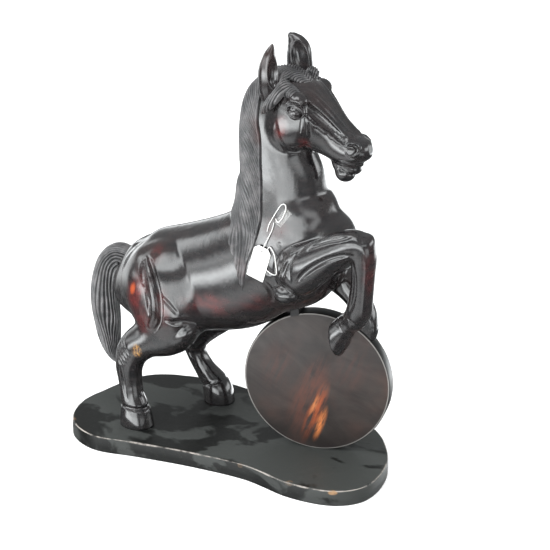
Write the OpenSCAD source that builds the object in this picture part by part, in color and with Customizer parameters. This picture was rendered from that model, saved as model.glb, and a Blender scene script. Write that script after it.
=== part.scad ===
// Carved horse standing over an upright disc on a shaped plank base.
// Millimetres. +X is the front of the horse, +Y its left side, +Z up.
// The origin is the middle of the underside of the base.

/* [Base] */
// length of the base board
base_length = 500; // [480:5:520]
// width of the base board
base_width = 250; // [240:5:270]
// thickness of the base board
base_thick = 24; // [23:0.5:25]
// height of the worn top arris
base_arris = 2.5; // [1:0.5:4]

/* [Disc] */
// diameter of the upright disc
disc_diameter = 215; // [213:1:217]
// thickness of the disc
disc_thick = 23; // [20:1:28]
// turn of the disc about the vertical, degrees
disc_yaw = 14.3; // [10:0.1:18]
// bevel on both rims of the disc
disc_bevel = 1.5; // [0.5:0.5:3]

/* [Horse] */
// scale of the body width, side to side
body_fullness = 1; // [0.94:0.01:1.05]
// scale of the neck width, side to side
neck_fullness = 1; // [0.94:0.01:1.05]
// height added to both ears
ear_extra = 0; // [-6:1:8]
// how far the mane stands proud of the neck
mane_proud = 4; // [3:0.5:6]

/* [Joinery] */
// diameter of the dowels in the neck and the head
dowel_d = 12; // [8:1:14]
// diameter of the dowels in the legs
leg_dowel_d = 10; // [6:1:12]
// shank diameter of the base screws
screw_d = 4.5; // [3.5:0.5:5]
// length of the base screws
screw_length = 44; // [36:1:50]

/* [Ticket] */
// width of the ticket
card_width = 27; // [22:1:28]
// height of the ticket
card_height = 50; // [44:1:52]
// thickness of the ticket card
card_thick = 0.6; // [0.4:0.1:1]
// diameter of the cotton string
string_d = 1.2; // [1:0.1:1.6]

/* [Hidden] */

wood_dark = [0.10, 0.09, 0.10];
wood_red = [0.30, 0.12, 0.08];
wood_pale = [0.76, 0.62, 0.42];
steel = [0.62, 0.63, 0.65];
big = 700;

// centre of the disc; it is flattened a little where it stands on the base
disc_c = [127.5, 14.3, base_thick + disc_diameter / 2 - 0.6];
disc_r = disc_diameter / 2;

// where the blocks are glued
neck_z = 392;
head_z = 484;

// ---- functions ----
function unit(v) = v / norm(v);
function pt(r) = [r[0], r[1], r[2]];
function cat(a, b, c, d, t) = 0.5 * (2 * b + (c - a) * t
  + (2 * a - 5 * b + 4 * c - d) * t * t + (3 * b - a - 3 * c + d) * t * t * t);
function spline(p, k) = let (n = len(p)) concat(
  [for (i = [0:n - 2]) for (j = [0:k - 1])
    cat(p[max(i - 1, 0)], p[i], p[i + 1], p[min(i + 2, n - 1)], j / k)],
  [p[n - 1]]);
function closed(p, k) = let (n = len(p))
  [for (i = [0:n - 1]) for (j = [0:k - 1])
    cat(p[(i + n - 1) % n], p[i], p[(i + 1) % n], p[(i + 2) % n], j / k)];
function along(p, i) = unit(pt(p[min(i + 1, len(p) - 1)]) - pt(p[max(i - 1, 0)]));
function bent(v, e) = sign(v) * pow(abs(v), e);
function ring(r, t, m, e) = let (s = unit([0, 1, 0] - t * t[1]), u = cross(t, s))
  [for (k = [0:m - 1]) let (a = 360 * k / m)
    pt(r) + s * r[3] * bent(cos(a), e) + u * r[4] * bent(sin(a), e)];
function wider(p, w, g) = [for (r = p) [r[0], r[1] * w, r[2], r[3] * w + g, r[4] + g]];

// a body through rows of [x, y, z, half width across, half depth]
module loft(rows, k = 3, m = 20, e = 0.92) {
  p = spline(rows, k);
  n = len(p);
  pts = [for (i = [0:n - 1]) each ring(p[i], along(p, i), m, e)];
  skin = [for (i = [0:n - 2]) for (j = [0:m - 1]) let (q = (j + 1) % m)
    [i * m + j, i * m + q, (i + 1) * m + q, (i + 1) * m + j]];
  cap_a = [for (j = [0:m - 1]) m - 1 - j];
  cap_b = [for (j = [0:m - 1]) (n - 1) * m + j];
  tri = [for (f = skin) each [[f[0], f[2], f[1]], [f[0], f[3], f[2]]]];
  polyhedron(pts, concat(tri, [[for (j = [m - 1:-1:0]) cap_a[j]]],
    [[for (j = [m - 1:-1:0]) cap_b[j]]]), convexity = 6);
}

// the space on the far side of a plane through c, along the direction v
module beyond(c, v) {
  a = atan2(v[1], v[0]);
  b = acos(unit(v)[2]);
  translate(c) rotate([0, b, a]) translate([0, 0, big / 2]) cube(big, center = true);
}

// a round pin from a to b
module pin(a, b, d) {
  v = b - a;
  translate(a) rotate([0, acos(unit(v)[2]), atan2(v[1], v[0])])
    cylinder(h = norm(v), d = d, $fn = 32);
}

// ---- outline of the base ----
base_rough = [[-225, -101], [-173, -124], [-105, -112], [-21, -99], [68, -94],
  [147, -108], [212, -100], [247, -68], [250, -15], [229, 41], [176, 99],
  [95, 122], [10, 112], [-75, 123], [-154, 115], [-219, 82], [-248, -1], [-250, -53]];
base_curve = closed(base_rough, 4);
bx = [for (p = base_curve) p[0]];
by = [for (p = base_curve) p[1]];
base_outline = [for (p = base_curve)
  [(p[0] - (max(bx) + min(bx)) / 2) * base_length / (max(bx) - min(bx)),
   (p[1] - (max(by) + min(by)) / 2) * base_width / (max(by) - min(by))]];

// ---- rows of the horse: x, y, z, half width, half depth ----
torso_rows = [[-196, 0, 240, 10, 13], [-187, 0, 236, 34, 38], [-165, 0, 234, 52, 56],
  [-119, 0, 238, 61, 75], [-60, 0, 256, 62, 79], [0, 0, 277, 63, 83], [50, 0, 306, 61, 80],
  [103, 0, 331, 58, 76.5], [139, 0, 350, 50, 56], [167, 0, 360, 38, 42],
  [182, 0, 365, 24, 26], [189, 0, 367.5, 9, 10.5]];
neck_rows = [[90, 0, 330, 48, 74], [86, 0, 360, 55, 81], [83.2, 0, 388, 53, 80.2],
  [79, 0, 415, 48, 69], [77, 0, 442, 44, 62], [69.5, 0, 475, 41, 54], [66, 0, 508, 38, 50],
  [68, 0, 540, 35, 46], [72, 0, 562, 29, 36], [76, 0, 576, 18, 20], [78, 0, 582, 6, 8]];
head_rows = [[66, 0, 562, 20, 22], [79, 0, 557, 36, 34], [101, 0, 546, 43, 42.5],
  [122, 0, 531, 40, 40], [140, 0, 519.5, 32, 36], [158, 0, 509.5, 26, 30],
  [175, 0, 501, 25, 27], [189, 0, 498, 25, 24], [200, 0, 499.5, 21.5, 18],
  [209, 0, 501.5, 15, 13], [213, 0, 502.5, 7, 7]];
thigh_rows = [[-112, -38, 302, 8, 12], [-111, -40, 292, 26, 36], [-105, -43, 268, 37, 53],
  [-95, -46, 234, 38, 57], [-83, -50, 200, 33, 50], [-75, -52, 172, 21, 37],
  [-71, -52, 156, 7, 12]];
near_hind_rows = [[-66, -50, 190, 22, 26], [-90, -54, 178, 26, 32],
  [-118, -57, 165, 25, 28], [-139, -60, 145, 22, 25], [-147, -62, 120, 18, 21],
  [-146, -62, 95, 16, 18], [-144, -62, 75, 16, 17.5], [-141, -61, 58, 18, 20.5],
  [-139, -60, 42, 21, 24], [-137, -60, 18, 23, 27]];
far_hind_rows = [[-44, 50, 199, 22, 28], [-65, 53, 178, 26, 32], [-89, 57, 152, 23, 27.5],
  [-106, 61, 128, 20, 22], [-112, 64, 108, 16, 17], [-106, 66, 88, 15, 15],
  [-95, 67, 70, 15, 16], [-83, 68, 55, 18, 20], [-75, 68, 41, 21, 23],
  [-72, 68, 18, 22, 24]];
near_arm_rows = [[110, -46, 302, 14, 18], [122, -50, 315, 22, 32],
  [138, -53, 328, 23.5, 34], [157, -55, 342, 23, 30], [180, -56, 361, 21, 25.5],
  [201, -55, 376.5, 19, 22.5], [218, -53, 385, 18, 19.5], [230, -51, 388.5, 15, 15]];
near_shin_rows = [[232, -51, 399, 8, 7], [232, -50, 391, 16, 14], [231, -48, 372, 19, 18],
  [229, -45, 348, 17, 17], [226, -41, 323, 14.5, 16.5], [221, -36, 299, 14.5, 17.5],
  [216, -31, 277, 16, 18.5], [207, -26, 260, 15.5, 17.5], [198, -22, 251, 15.5, 16],
  [190, -20, 243, 17, 16.5], [181, -19, 231, 19, 18.5], [171, -17, 216, 21, 21],
  [158, -15, 198, 22, 22]];
far_arm_rows = [[108, 38, 318, 18, 24], [126, 42, 302, 24, 27], [150, 42, 281, 21, 23],
  [169, 40, 265, 18, 19], [183, 37.5, 250, 17, 17.5], [191, 35.5, 236, 17, 17.5],
  [194.5, 34, 222, 16.5, 17], [194, 33, 208, 15, 15], [191.5, 32, 195, 13, 13]];
tail_rows = [[-180, 0, 258, 14, 16], [-198, -2, 261, 17, 19], [-213, -5, 246, 19, 21],
  [-220, -9, 216, 20, 22], [-220, -12, 186, 20, 22], [-216, -14, 159, 18, 21],
  [-210, -19, 138, 15, 19], [-202, -25, 122, 12, 15], [-192, -31, 111, 8, 10],
  [-182, -37, 106, 3, 4]];
ear_rows = [[74, -33, 560, 10, 12], [75, -36, 580, 14, 14], [75, -38, 602, 13, 14],
  [77, -39, 622, 9, 9], [80, -39, 634, 5, 5], [82, -39, 641, 1.5, 1.5]];
far_ear_rows = [[86, 33, 562, 10, 15], [84, 35, 582, 13, 19], [82, 36, 598, 13, 19.5],
  [80, 37, 612, 12, 18], [75.5, 37, 622, 9, 14.5], [71, 36, 628.5, 6, 9],
  [67.5, 35, 632.5, 4, 4.5], [66, 35, 634.5, 1.5, 1.5]];
lock_rows = [[52, 0, 584, 6, 3], [66, 0, 589, 15, 7], [84, 0, 592, 20, 8],
  [102, 0, 588, 18, 7], [118, 0, 578, 12, 6], [130, 0, 567, 4, 3]];

// the mane seen from the side
mane_side = [[60, 578], [57, 530], [63, 500], [65, 466], [69, 421], [71, 388], [63, 352],
  [55, 326], [50, 299], [47, 280], [40, 298], [31, 325], [18, 345], [8, 372],
  [-30, 400], [-30, 600], [56, 600]];

// ---- raw volumes, before the blocks are divided ----
module v_torso(g = 0) {
  loft(wider(torso_rows, body_fullness, g), 3, 28);
}
module v_elbows() {
  for (s = [-1, 1]) {
    translate([114, s * 49, 287]) scale([1, 0.95, 0.75]) sphere(r = 18, $fn = 20);
  }
}
module v_neck(g = 0) loft(wider(neck_rows, neck_fullness, g), 3, 26);
module v_head(g = 0) {
  loft(wider(head_rows, 1, g), 3, 24);
  // cheek and eye swellings
  for (s = [-1, 1]) {
    translate([101, s * 30, 521]) rotate([0, 32, 0]) scale([1.1, 0.55, 1]) sphere(r = 29 + g, $fn = 24);
    translate([119, s * 34, 563]) rotate([0, 32, 0]) scale([1.1, 0.8, 1.05]) sphere(r = 13.5 + g, $fn = 20);
  }
  // chin
  translate([175, 0, 462]) scale([1.05, 1.05, 0.98]) sphere(r = 14 + g, $fn = 20);
  // lower lip
  translate([188, 0, 472]) scale([1.2, 1.4, 1]) sphere(r = 9.5 + g, $fn = 18);
}
module v_thighs() {
  loft(wider(thigh_rows, body_fullness, 0), 3, 22);
  translate([6, 0, 0]) mirror([0, 1, 0]) loft(wider(thigh_rows, body_fullness, 0), 3, 22);
  // hip bones
  for (s = [-1, 1]) {
    translate([-100, s * 40, 290]) rotate([0, -20, 0]) scale([1.3, 1, 1]) sphere(r = 22, $fn = 20);
  }
}
module v_near_hind() loft(near_hind_rows, 3, 18);
module v_far_hind() loft(far_hind_rows, 3, 18);
module v_near_fore() {
  intersection() {
    loft(near_arm_rows, 3, 18);
    beyond(near_fore_c, near_fore_v);
  }
  // the sole of the hoof is a flat cut
  difference() {
    loft(near_shin_rows, 3, 18);
    beyond([171.5, 0, 216], [-0.97, 0, -0.25]);
  }
}
module v_far_fore() loft(far_arm_rows, 3, 18);
module v_tail() loft(tail_rows, 3, 18);

// cuts between the blocks
near_hind_c = [-100, -55, 171];
near_hind_v = [-0.84, 0, -0.54];
far_hind_c = [-76, 55, 168];
far_hind_v = [-0.66, 0, -0.75];
near_fore_c = [142, -56, 327];
near_fore_v = [0.79, 0, 0.61];
far_fore_c = [133, 42, 296];
far_fore_v = [0.76, 0, -0.65];

// ---- pins that run through more than one block ----
module neck_pins() {
  for (x = [48, 112]) pin([x, 0, neck_z - 30], [x, 0, neck_z + 30], dowel_d);
}
module head_pin() pin([74, 0, head_z - 30], [74, 0, head_z + 30], dowel_d);
module ear_pins() {
  pin([74, -33, 566], [75, -37, 590], 5);
  pin([86, 32, 566], [82, 35, 590], 5);
}
module tail_pin() pin([-168, 0, 243], [-206, -3, 254], 8);
module fore_pins() {
  pin(near_fore_c - unit(near_fore_v) * 22, near_fore_c + unit(near_fore_v) * 22, leg_dowel_d);
  pin(far_fore_c - unit(far_fore_v) * 20, far_fore_c + unit(far_fore_v) * 20, leg_dowel_d);
}
module hind_pins() {
  pin(near_hind_c - unit(near_hind_v) * 22, near_hind_c + unit(near_hind_v) * 22, leg_dowel_d);
  pin(far_hind_c - unit(far_hind_v) * 22, far_hind_c + unit(far_hind_v) * 22, leg_dowel_d);
}
hoof_a = 47;
hoof_n = [cos(hoof_a) * cos(disc_yaw), cos(hoof_a) * sin(disc_yaw), sin(hoof_a)];
module hoof_pins() pin(disc_c + hoof_n * (disc_r - 14), disc_c + hoof_n * (disc_r + 14), 6);

// a countersunk screw, head down, its head flush 1 mm inside the underside
module screw_at(p) {
  translate([p[0], p[1], 1]) {
    cylinder(h = 0.8, d = 2.1 * screw_d, $fn = 32);
    translate([0, 0, 0.8]) cylinder(h = 0.55 * screw_d, d1 = 2.1 * screw_d, d2 = screw_d, $fn = 32);
    cylinder(h = screw_length - 4, d = screw_d, $fn = 32);
    translate([0, 0, screw_length - 4]) cylinder(h = 4, d1 = screw_d, d2 = 0.8, $fn = 32);
  }
}
module screw_well(p) {
  screw_at(p);
  translate([p[0], p[1], -1]) cylinder(h = 2.2, d = 2.1 * screw_d, $fn = 32);
}
hoof_spots = [[-136, -60], [-69, 68]];
disc_spots = [for (s = [-1, 1]) [disc_c[0] + s * 8 * cos(disc_yaw), disc_c[1] + s * 8 * sin(disc_yaw)]];

// ---- the disc and the peg ----
module disc_round(h, r, b) {
  translate(disc_c) rotate([90, 0, disc_yaw]) translate([0, 0, -h / 2]) {
    cylinder(h = b, r1 = r - b, r2 = r, $fn = 120);
    translate([0, 0, b]) cylinder(h = h - 2 * b, r = r, $fn = 120);
    translate([0, 0, h - b]) cylinder(h = b, r1 = r, r2 = r - b, $fn = 120);
  }
}
module rim_cutter() {
  translate(disc_c) rotate([90, 0, disc_yaw]) translate([0, 0, -60]) cylinder(h = 120, r = disc_r, $fn = 120);
}
peg_w = 12;
module peg_box() {
  translate(disc_c) rotate([0, 0, disc_yaw]) translate([-37, -19, 88]) cube([peg_w, 38, 36]);
}

// ---- the ticket ----
hole = [77.9, -60.2, 345.2];
card_lean = 15;
tape_mid = [105.5, 0, 398];
tape_turn = 34;
// string from its knotted end up over the tape and round to the tape's lower edge
end_route = [[82.8, -55.4, 374.7], [85.1, -54.5, 384.6], [90.1, -52.9, 395.4], [96.1, -50.5, 407],
  [101, -48.7, 415.1], [106.2, -47.4, 417.1], [108.9, -48.8, 411.2], [107, -51.3, 403.4],
  [104, -52.8, 396], [98.9, -53.8, 391.2], [95.5, -53.9, 396.1]];
// string from the tape to the ticket, through the hole, then the slack loop
drop_route = [[93.1, -54.1, 389.5], [91.1, -55.9, 379.3], [87.5, -57.6, 369.9], [83.6, -59.4, 360.9],
  [80.9, -61.2, 353.6], [78.9, -61.9, 348.4], [77.9, -60.4, 344.4], [78.6, -59, 340.6],
  [82.4, -58.9, 338.6], [85, -58.9, 342.6], [85.5, -58.9, 349.4], [89.2, -59.3, 354],
  [93.6, -60, 350.3], [98.2, -61.6, 343.6], [101.4, -65.2, 337.4], [103.4, -67, 331],
  [105.6, -68.8, 325.4], [103.6, -67, 319], [98.2, -63.6, 315.8], [92, -61.2, 315.6],
  [87, -60.6, 317.6], [82.5, -60.3, 321]];
module cord(p) {
  loft([for (q = p) [q[0], q[1], q[2], string_d / 2, string_d / 2]], 3, 8, 1);
}

module base_board() {
  color(wood_dark) difference() {
    union() {
      translate([0, 0, 1]) linear_extrude(height = base_thick - base_arris - 1) polygon(base_outline);
      translate([0, 0, base_thick - base_arris])
        linear_extrude(height = base_arris, scale = 0.986) polygon(base_outline);
      translate([0, 0, 1]) mirror([0, 0, 1]) linear_extrude(height = 1, scale = 0.994) polygon(base_outline);
    }
    for (p = hoof_spots) screw_well(p);
    for (p = disc_spots) screw_well(p);
  }
}

module disc() {
  color(wood_red) difference() {
    disc_round(disc_thick, disc_r, disc_bevel);
    translate([0, 0, base_thick - 50]) cube([big, big, 100], center = true);
    for (p = disc_spots) screw_at(p);
    hoof_pins();
  }
}

module disc_screws() {
  color(steel) for (p = disc_spots) screw_at(p);
}

module hind_leg_screws() {
  color(steel) for (p = hoof_spots) screw_at(p);
}

module torso() {
  color(wood_dark) difference() {
    resize([0, 0, 0]) difference() {
      union() {
        v_torso();
        v_elbows();
        v_thighs();
        difference() {
          v_neck();
          beyond([0, 0, neck_z], [0, 0, 1]);
        }
        difference() {
          v_near_hind();
          beyond(near_hind_c, near_hind_v);
        }
        difference() {
          v_far_hind();
          beyond(far_hind_c, far_hind_v);
        }
        difference() {
          loft(near_arm_rows, 3, 18);
          beyond(near_fore_c, near_fore_v);
        }
        difference() {
          v_far_fore();
          beyond(far_fore_c, far_fore_v);
        }
      }
      beyond([0, 0, neck_z], [0, 0, 1]);
    }
    rim_cutter();
    peg_box();
    neck_pins();
    tail_pin();
    fore_pins();
    hind_pins();
  }
}

module neck() {
  color(wood_dark) difference() {
    resize([0, 0, 0]) difference() {
      intersection() {
        v_neck();
        beyond([0, 0, neck_z], [0, 0, 1]);
      }
      v_head();
      beyond([0, 0, head_z], [0, 0, 1]);
    }
    neck_pins();
    head_pin();
  }
}

module head() {
  color(wood_dark) difference() {
    resize([0, 0, 0]) union() {
      v_head();
      intersection() {
        v_neck();
        beyond([0, 0, head_z], [0, 0, 1]);
      }
    }
    head_pin();
    ear_pins();
  }
}

function taller(p) = [for (r = p) [r[0], r[1], r[2] + (r[2] > 600 ? ear_extra : 0), r[3], r[4]]];
module near_ear() {
  difference() {
    loft(taller(ear_rows), 3, 18);
    translate([90, -45, 606]) rotate([0, 8, -30]) scale([0.48, 0.4, 1.1]) sphere(r = 24, $fn = 20);
  }
}
module far_ear() {
  difference() {
    loft(taller(far_ear_rows), 3, 18);
    translate([91, 22.5, 605]) rotate([0, -16, -12]) scale([0.64, 0.42, 1.18]) sphere(r = 24, $fn = 22);
  }
}

module right_ear() {
  color(wood_dark) difference() {
    resize([0, 0, 0]) difference() {
      near_ear();
      v_head();
      v_neck();
    }
    ear_pins();
  }
}

module left_ear() {
  color(wood_dark) difference() {
    resize([0, 0, 0]) difference() {
      far_ear();
      v_head();
      v_neck();
    }
    ear_pins();
  }
}

module v_locks() {
  loft(lock_rows, 3, 16);
  for (s = [-1, 1]) {
    translate([104, s * 29, 575]) rotate([0, 22, s * 14]) scale([2, 0.9, 0.8]) sphere(r = 12, $fn = 18);
  }
}

module forelock() {
  color(wood_dark) resize([0, 0, 0]) difference() {
    v_locks();
    v_head();
    v_neck();
    near_ear();
    far_ear();
  }
}

module mane() {
  color(wood_dark) resize([0, 0, 0]) difference() {
    intersection() {
      union() {
        v_neck(mane_proud);
        v_torso(mane_proud);
      }
      translate([0, 150, 0]) rotate([90, 0, 0]) linear_extrude(height = 300) polygon(mane_side);
    }
    v_neck();
    v_torso();
    v_head();
    v_locks();
    near_ear();
    far_ear();
  }
}

module tail() {
  color(wood_dark) difference() {
    resize([0, 0, 0]) difference() {
      v_tail();
      v_torso();
      v_thighs();
      v_near_hind();
    }
    tail_pin();
  }
}

module right_foreleg() {
  color(wood_dark) difference() {
    resize([0, 0, 0]) difference() {
      v_near_fore();
      v_torso();
      v_elbows();
      v_neck();
    }
    fore_pins();
  }
}

module left_foreleg() {
  color(wood_dark) difference() {
    resize([0, 0, 0]) difference() {
      intersection() {
        v_far_fore();
        beyond(far_fore_c, far_fore_v);
        beyond([130.1, 4.1, 0], [-0.247, 0.969, 0]);
      }
      v_torso();
      v_elbows();
    }
    rim_cutter();
    fore_pins();
    hoof_pins();
  }
}

module right_hind_leg() {
  color(wood_dark) difference() {
    resize([0, 0, 0]) difference() {
      intersection() {
        v_near_hind();
        beyond(near_hind_c, near_hind_v);
        beyond([0, 0, base_thick], [0, 0, 1]);
      }
      v_torso();
      v_thighs();
    }
    hind_pins();
    for (p = hoof_spots) screw_at(p);
  }
}

module left_hind_leg() {
  color(wood_dark) difference() {
    resize([0, 0, 0]) difference() {
      intersection() {
        v_far_hind();
        beyond(far_hind_c, far_hind_v);
        beyond([0, 0, base_thick], [0, 0, 1]);
      }
      v_torso();
      v_thighs();
    }
    hind_pins();
    for (p = hoof_spots) screw_at(p);
  }
}

module chest_peg() {
  color(wood_dark) difference() {
    peg_box();
    rim_cutter();
  }
}

module neck_dowels() {
  color(wood_pale) neck_pins();
}

module head_dowel() {
  color(wood_pale) head_pin();
}

module ear_dowels() {
  color(wood_pale) ear_pins();
}

module tail_dowel() {
  color(wood_pale) tail_pin();
}

module foreleg_dowels() {
  color(wood_pale) fore_pins();
}

module hind_leg_dowels() {
  color(wood_pale) hind_pins();
}

module hoof_pin() {
  color(wood_pale) hoof_pins();
}

module tape_patch() {
  color([0.8, 0.8, 0.78]) resize([0, 0, 0]) difference() {
    intersection() {
      union() {
        v_neck(0.3);
        v_torso(0.3);
      }
      translate(tape_mid) rotate([0, tape_turn, 0]) translate([-6, -90, -13]) cube([12, 90, 26]);
    }
    v_neck();
    v_torso();
  }
}

module string_end() {
  color([0.9, 0.9, 0.88]) cord(end_route);
}

module tag_string() {
  color([0.9, 0.9, 0.88]) cord(drop_route);
}

module tag_card() {
  w = card_width / 2;
  t = 7;
  b = t - card_height;
  color([0.93, 0.93, 0.9]) translate(hole) rotate([-3, card_lean, 0]) rotate([90, 0, 0])
    difference() {
      linear_extrude(height = card_thick)
        polygon([[-w, b], [w, b], [w, t - 6], [w - 6, t], [6 - w, t], [-w, t - 6]]);
      translate([0, 0, -1]) cylinder(h = 4, d = 4, $fn = 24);
    }
}

base_board();
disc();
disc_screws();
hind_leg_screws();
torso();
neck();
head();
right_ear();
left_ear();
forelock();
mane();
tail();
right_foreleg();
left_foreleg();
right_hind_leg();
left_hind_leg();
chest_peg();
neck_dowels();
head_dowel();
ear_dowels();
tail_dowel();
foreleg_dowels();
hind_leg_dowels();
hoof_pin();
tape_patch();
string_end();
tag_string();
tag_card();
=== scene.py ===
import math
import bmesh
import bpy
import numpy as np
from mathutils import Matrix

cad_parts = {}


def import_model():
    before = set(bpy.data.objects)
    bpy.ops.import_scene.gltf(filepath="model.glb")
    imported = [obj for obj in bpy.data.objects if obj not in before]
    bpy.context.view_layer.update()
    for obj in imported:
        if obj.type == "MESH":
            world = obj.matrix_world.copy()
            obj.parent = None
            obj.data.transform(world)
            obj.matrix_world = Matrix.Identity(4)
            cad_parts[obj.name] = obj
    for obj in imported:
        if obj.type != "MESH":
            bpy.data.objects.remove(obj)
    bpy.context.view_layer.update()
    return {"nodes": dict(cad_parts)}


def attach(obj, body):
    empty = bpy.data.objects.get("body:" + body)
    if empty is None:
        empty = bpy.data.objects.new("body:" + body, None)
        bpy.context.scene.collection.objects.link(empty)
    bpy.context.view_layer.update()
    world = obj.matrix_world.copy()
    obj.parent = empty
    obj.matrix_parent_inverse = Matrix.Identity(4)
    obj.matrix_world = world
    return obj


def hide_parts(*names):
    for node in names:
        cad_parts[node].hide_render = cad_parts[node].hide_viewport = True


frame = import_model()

import openvdb as vdb
from mathutils import Matrix, Vector

# Every shape below is worked out in millimetres in the CAD frame and turned into
# metres when its mesh is made. +X is the front of the horse, +Y its left side.
MM = 0.001
SQUARENESS = 0.94     # 1 would make every ring of a loft an ellipse


def unit(v):
    v = np.asarray(v, float)
    return v / np.linalg.norm(v)


# ---------------------------------------------------------------- lofted bodies
def spline(rows, k, closed=False):
    """Points of a smooth curve through the rows, k to each span."""
    p = np.asarray(rows, float)
    n = len(p)
    t = np.arange(k)[:, None] / k
    out = []
    for i in range(n if closed else n - 1):
        near = (i - 1, i, i + 1, i + 2)
        a, b, c, d = (p[j % n if closed else min(max(j, 0), n - 1)] for j in near)
        out.append(0.5 * (2 * b + (c - a) * t + (2 * a - 5 * b + 4 * c - d) * t**2
                          + (3 * b - a - 3 * c + d) * t**3))
    return np.vstack(out if closed else out + [p[-1:]])


def frames(p):
    """Directions across and up at each point of a centre line, as part.scad has them."""
    ends = np.vstack([p[1:], p[-1:]]) - np.vstack([p[:1], p[:-1]])
    t = ends / np.linalg.norm(ends, axis=1)[:, None]
    s = np.array([0, 1, 0]) - t * t[:, 1:2]
    s /= np.linalg.norm(s, axis=1)[:, None]
    return s, np.cross(t, s)


def rings(rows, k, m):
    """Centres of the rings of a loft, and the m spokes of each ring."""
    p = spline(rows, k)
    s, u = frames(p[:, :3])
    a = np.arange(m) * 2 * math.pi / m
    ca, sa = (np.sign(w) * np.abs(w)**SQUARENESS for w in (np.cos(a), np.sin(a)))
    return p[:, None, :3], (s[:, None] * (p[:, 3:4] * ca)[:, :, None],
                            u[:, None] * (p[:, 4:5] * sa)[:, :, None])


def sides(n, m):
    """The quads between n rings of m points."""
    i, j = np.meshgrid(np.arange(n - 1), np.arange(m), indexing="ij")
    q = (j + 1) % m
    return np.stack([i * m + j, i * m + q, (i + 1) * m + q, (i + 1) * m + j], -1).reshape(-1, 4)


def outward(v, f):
    """The faces f, turned round if they enclose a negative volume."""
    x = v[f]
    inside_out = np.einsum("ij,ij->i", x[:, 0], np.cross(x[:, 1], x[:, 2])).sum() < 0
    return f[:, ::-1] if inside_out else f


def loft(rows, k=10, m=96):
    """Closed skin through rows of [x, y, z, half width across, half depth]."""
    c, (across, up) = rings(rows, k, m)
    n = len(c)
    v = np.vstack([(c + across + up).reshape(-1, 3), c[0], c[-1]])
    q = sides(n, m)
    a, b = np.arange(m), (np.arange(m) + 1) % m
    last = (n - 1) * m
    return v, outward(v, np.vstack([
        q[:, [0, 2, 1]], q[:, [0, 3, 2]], np.stack([np.full(m, n * m), a, b], -1),
        np.stack([np.full(m, n * m + 1), last + b, last + a], -1)]))


def mirrored(rows):
    return [[r[0], -r[1], *r[2:]] for r in rows]


# ---------------------------------------------------------------- distance fields
def smin(a, b, k):
    h = np.clip(0.5 + 0.5 * (b - a) / k, 0, 1)
    return b + (a - b) * h - k * h * (1 - h)


def smax(a, b, k):
    return -smin(-a, -b, k)


BOTH, RIGHT, LEFT = (1, -1), (1,), (-1,)


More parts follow.
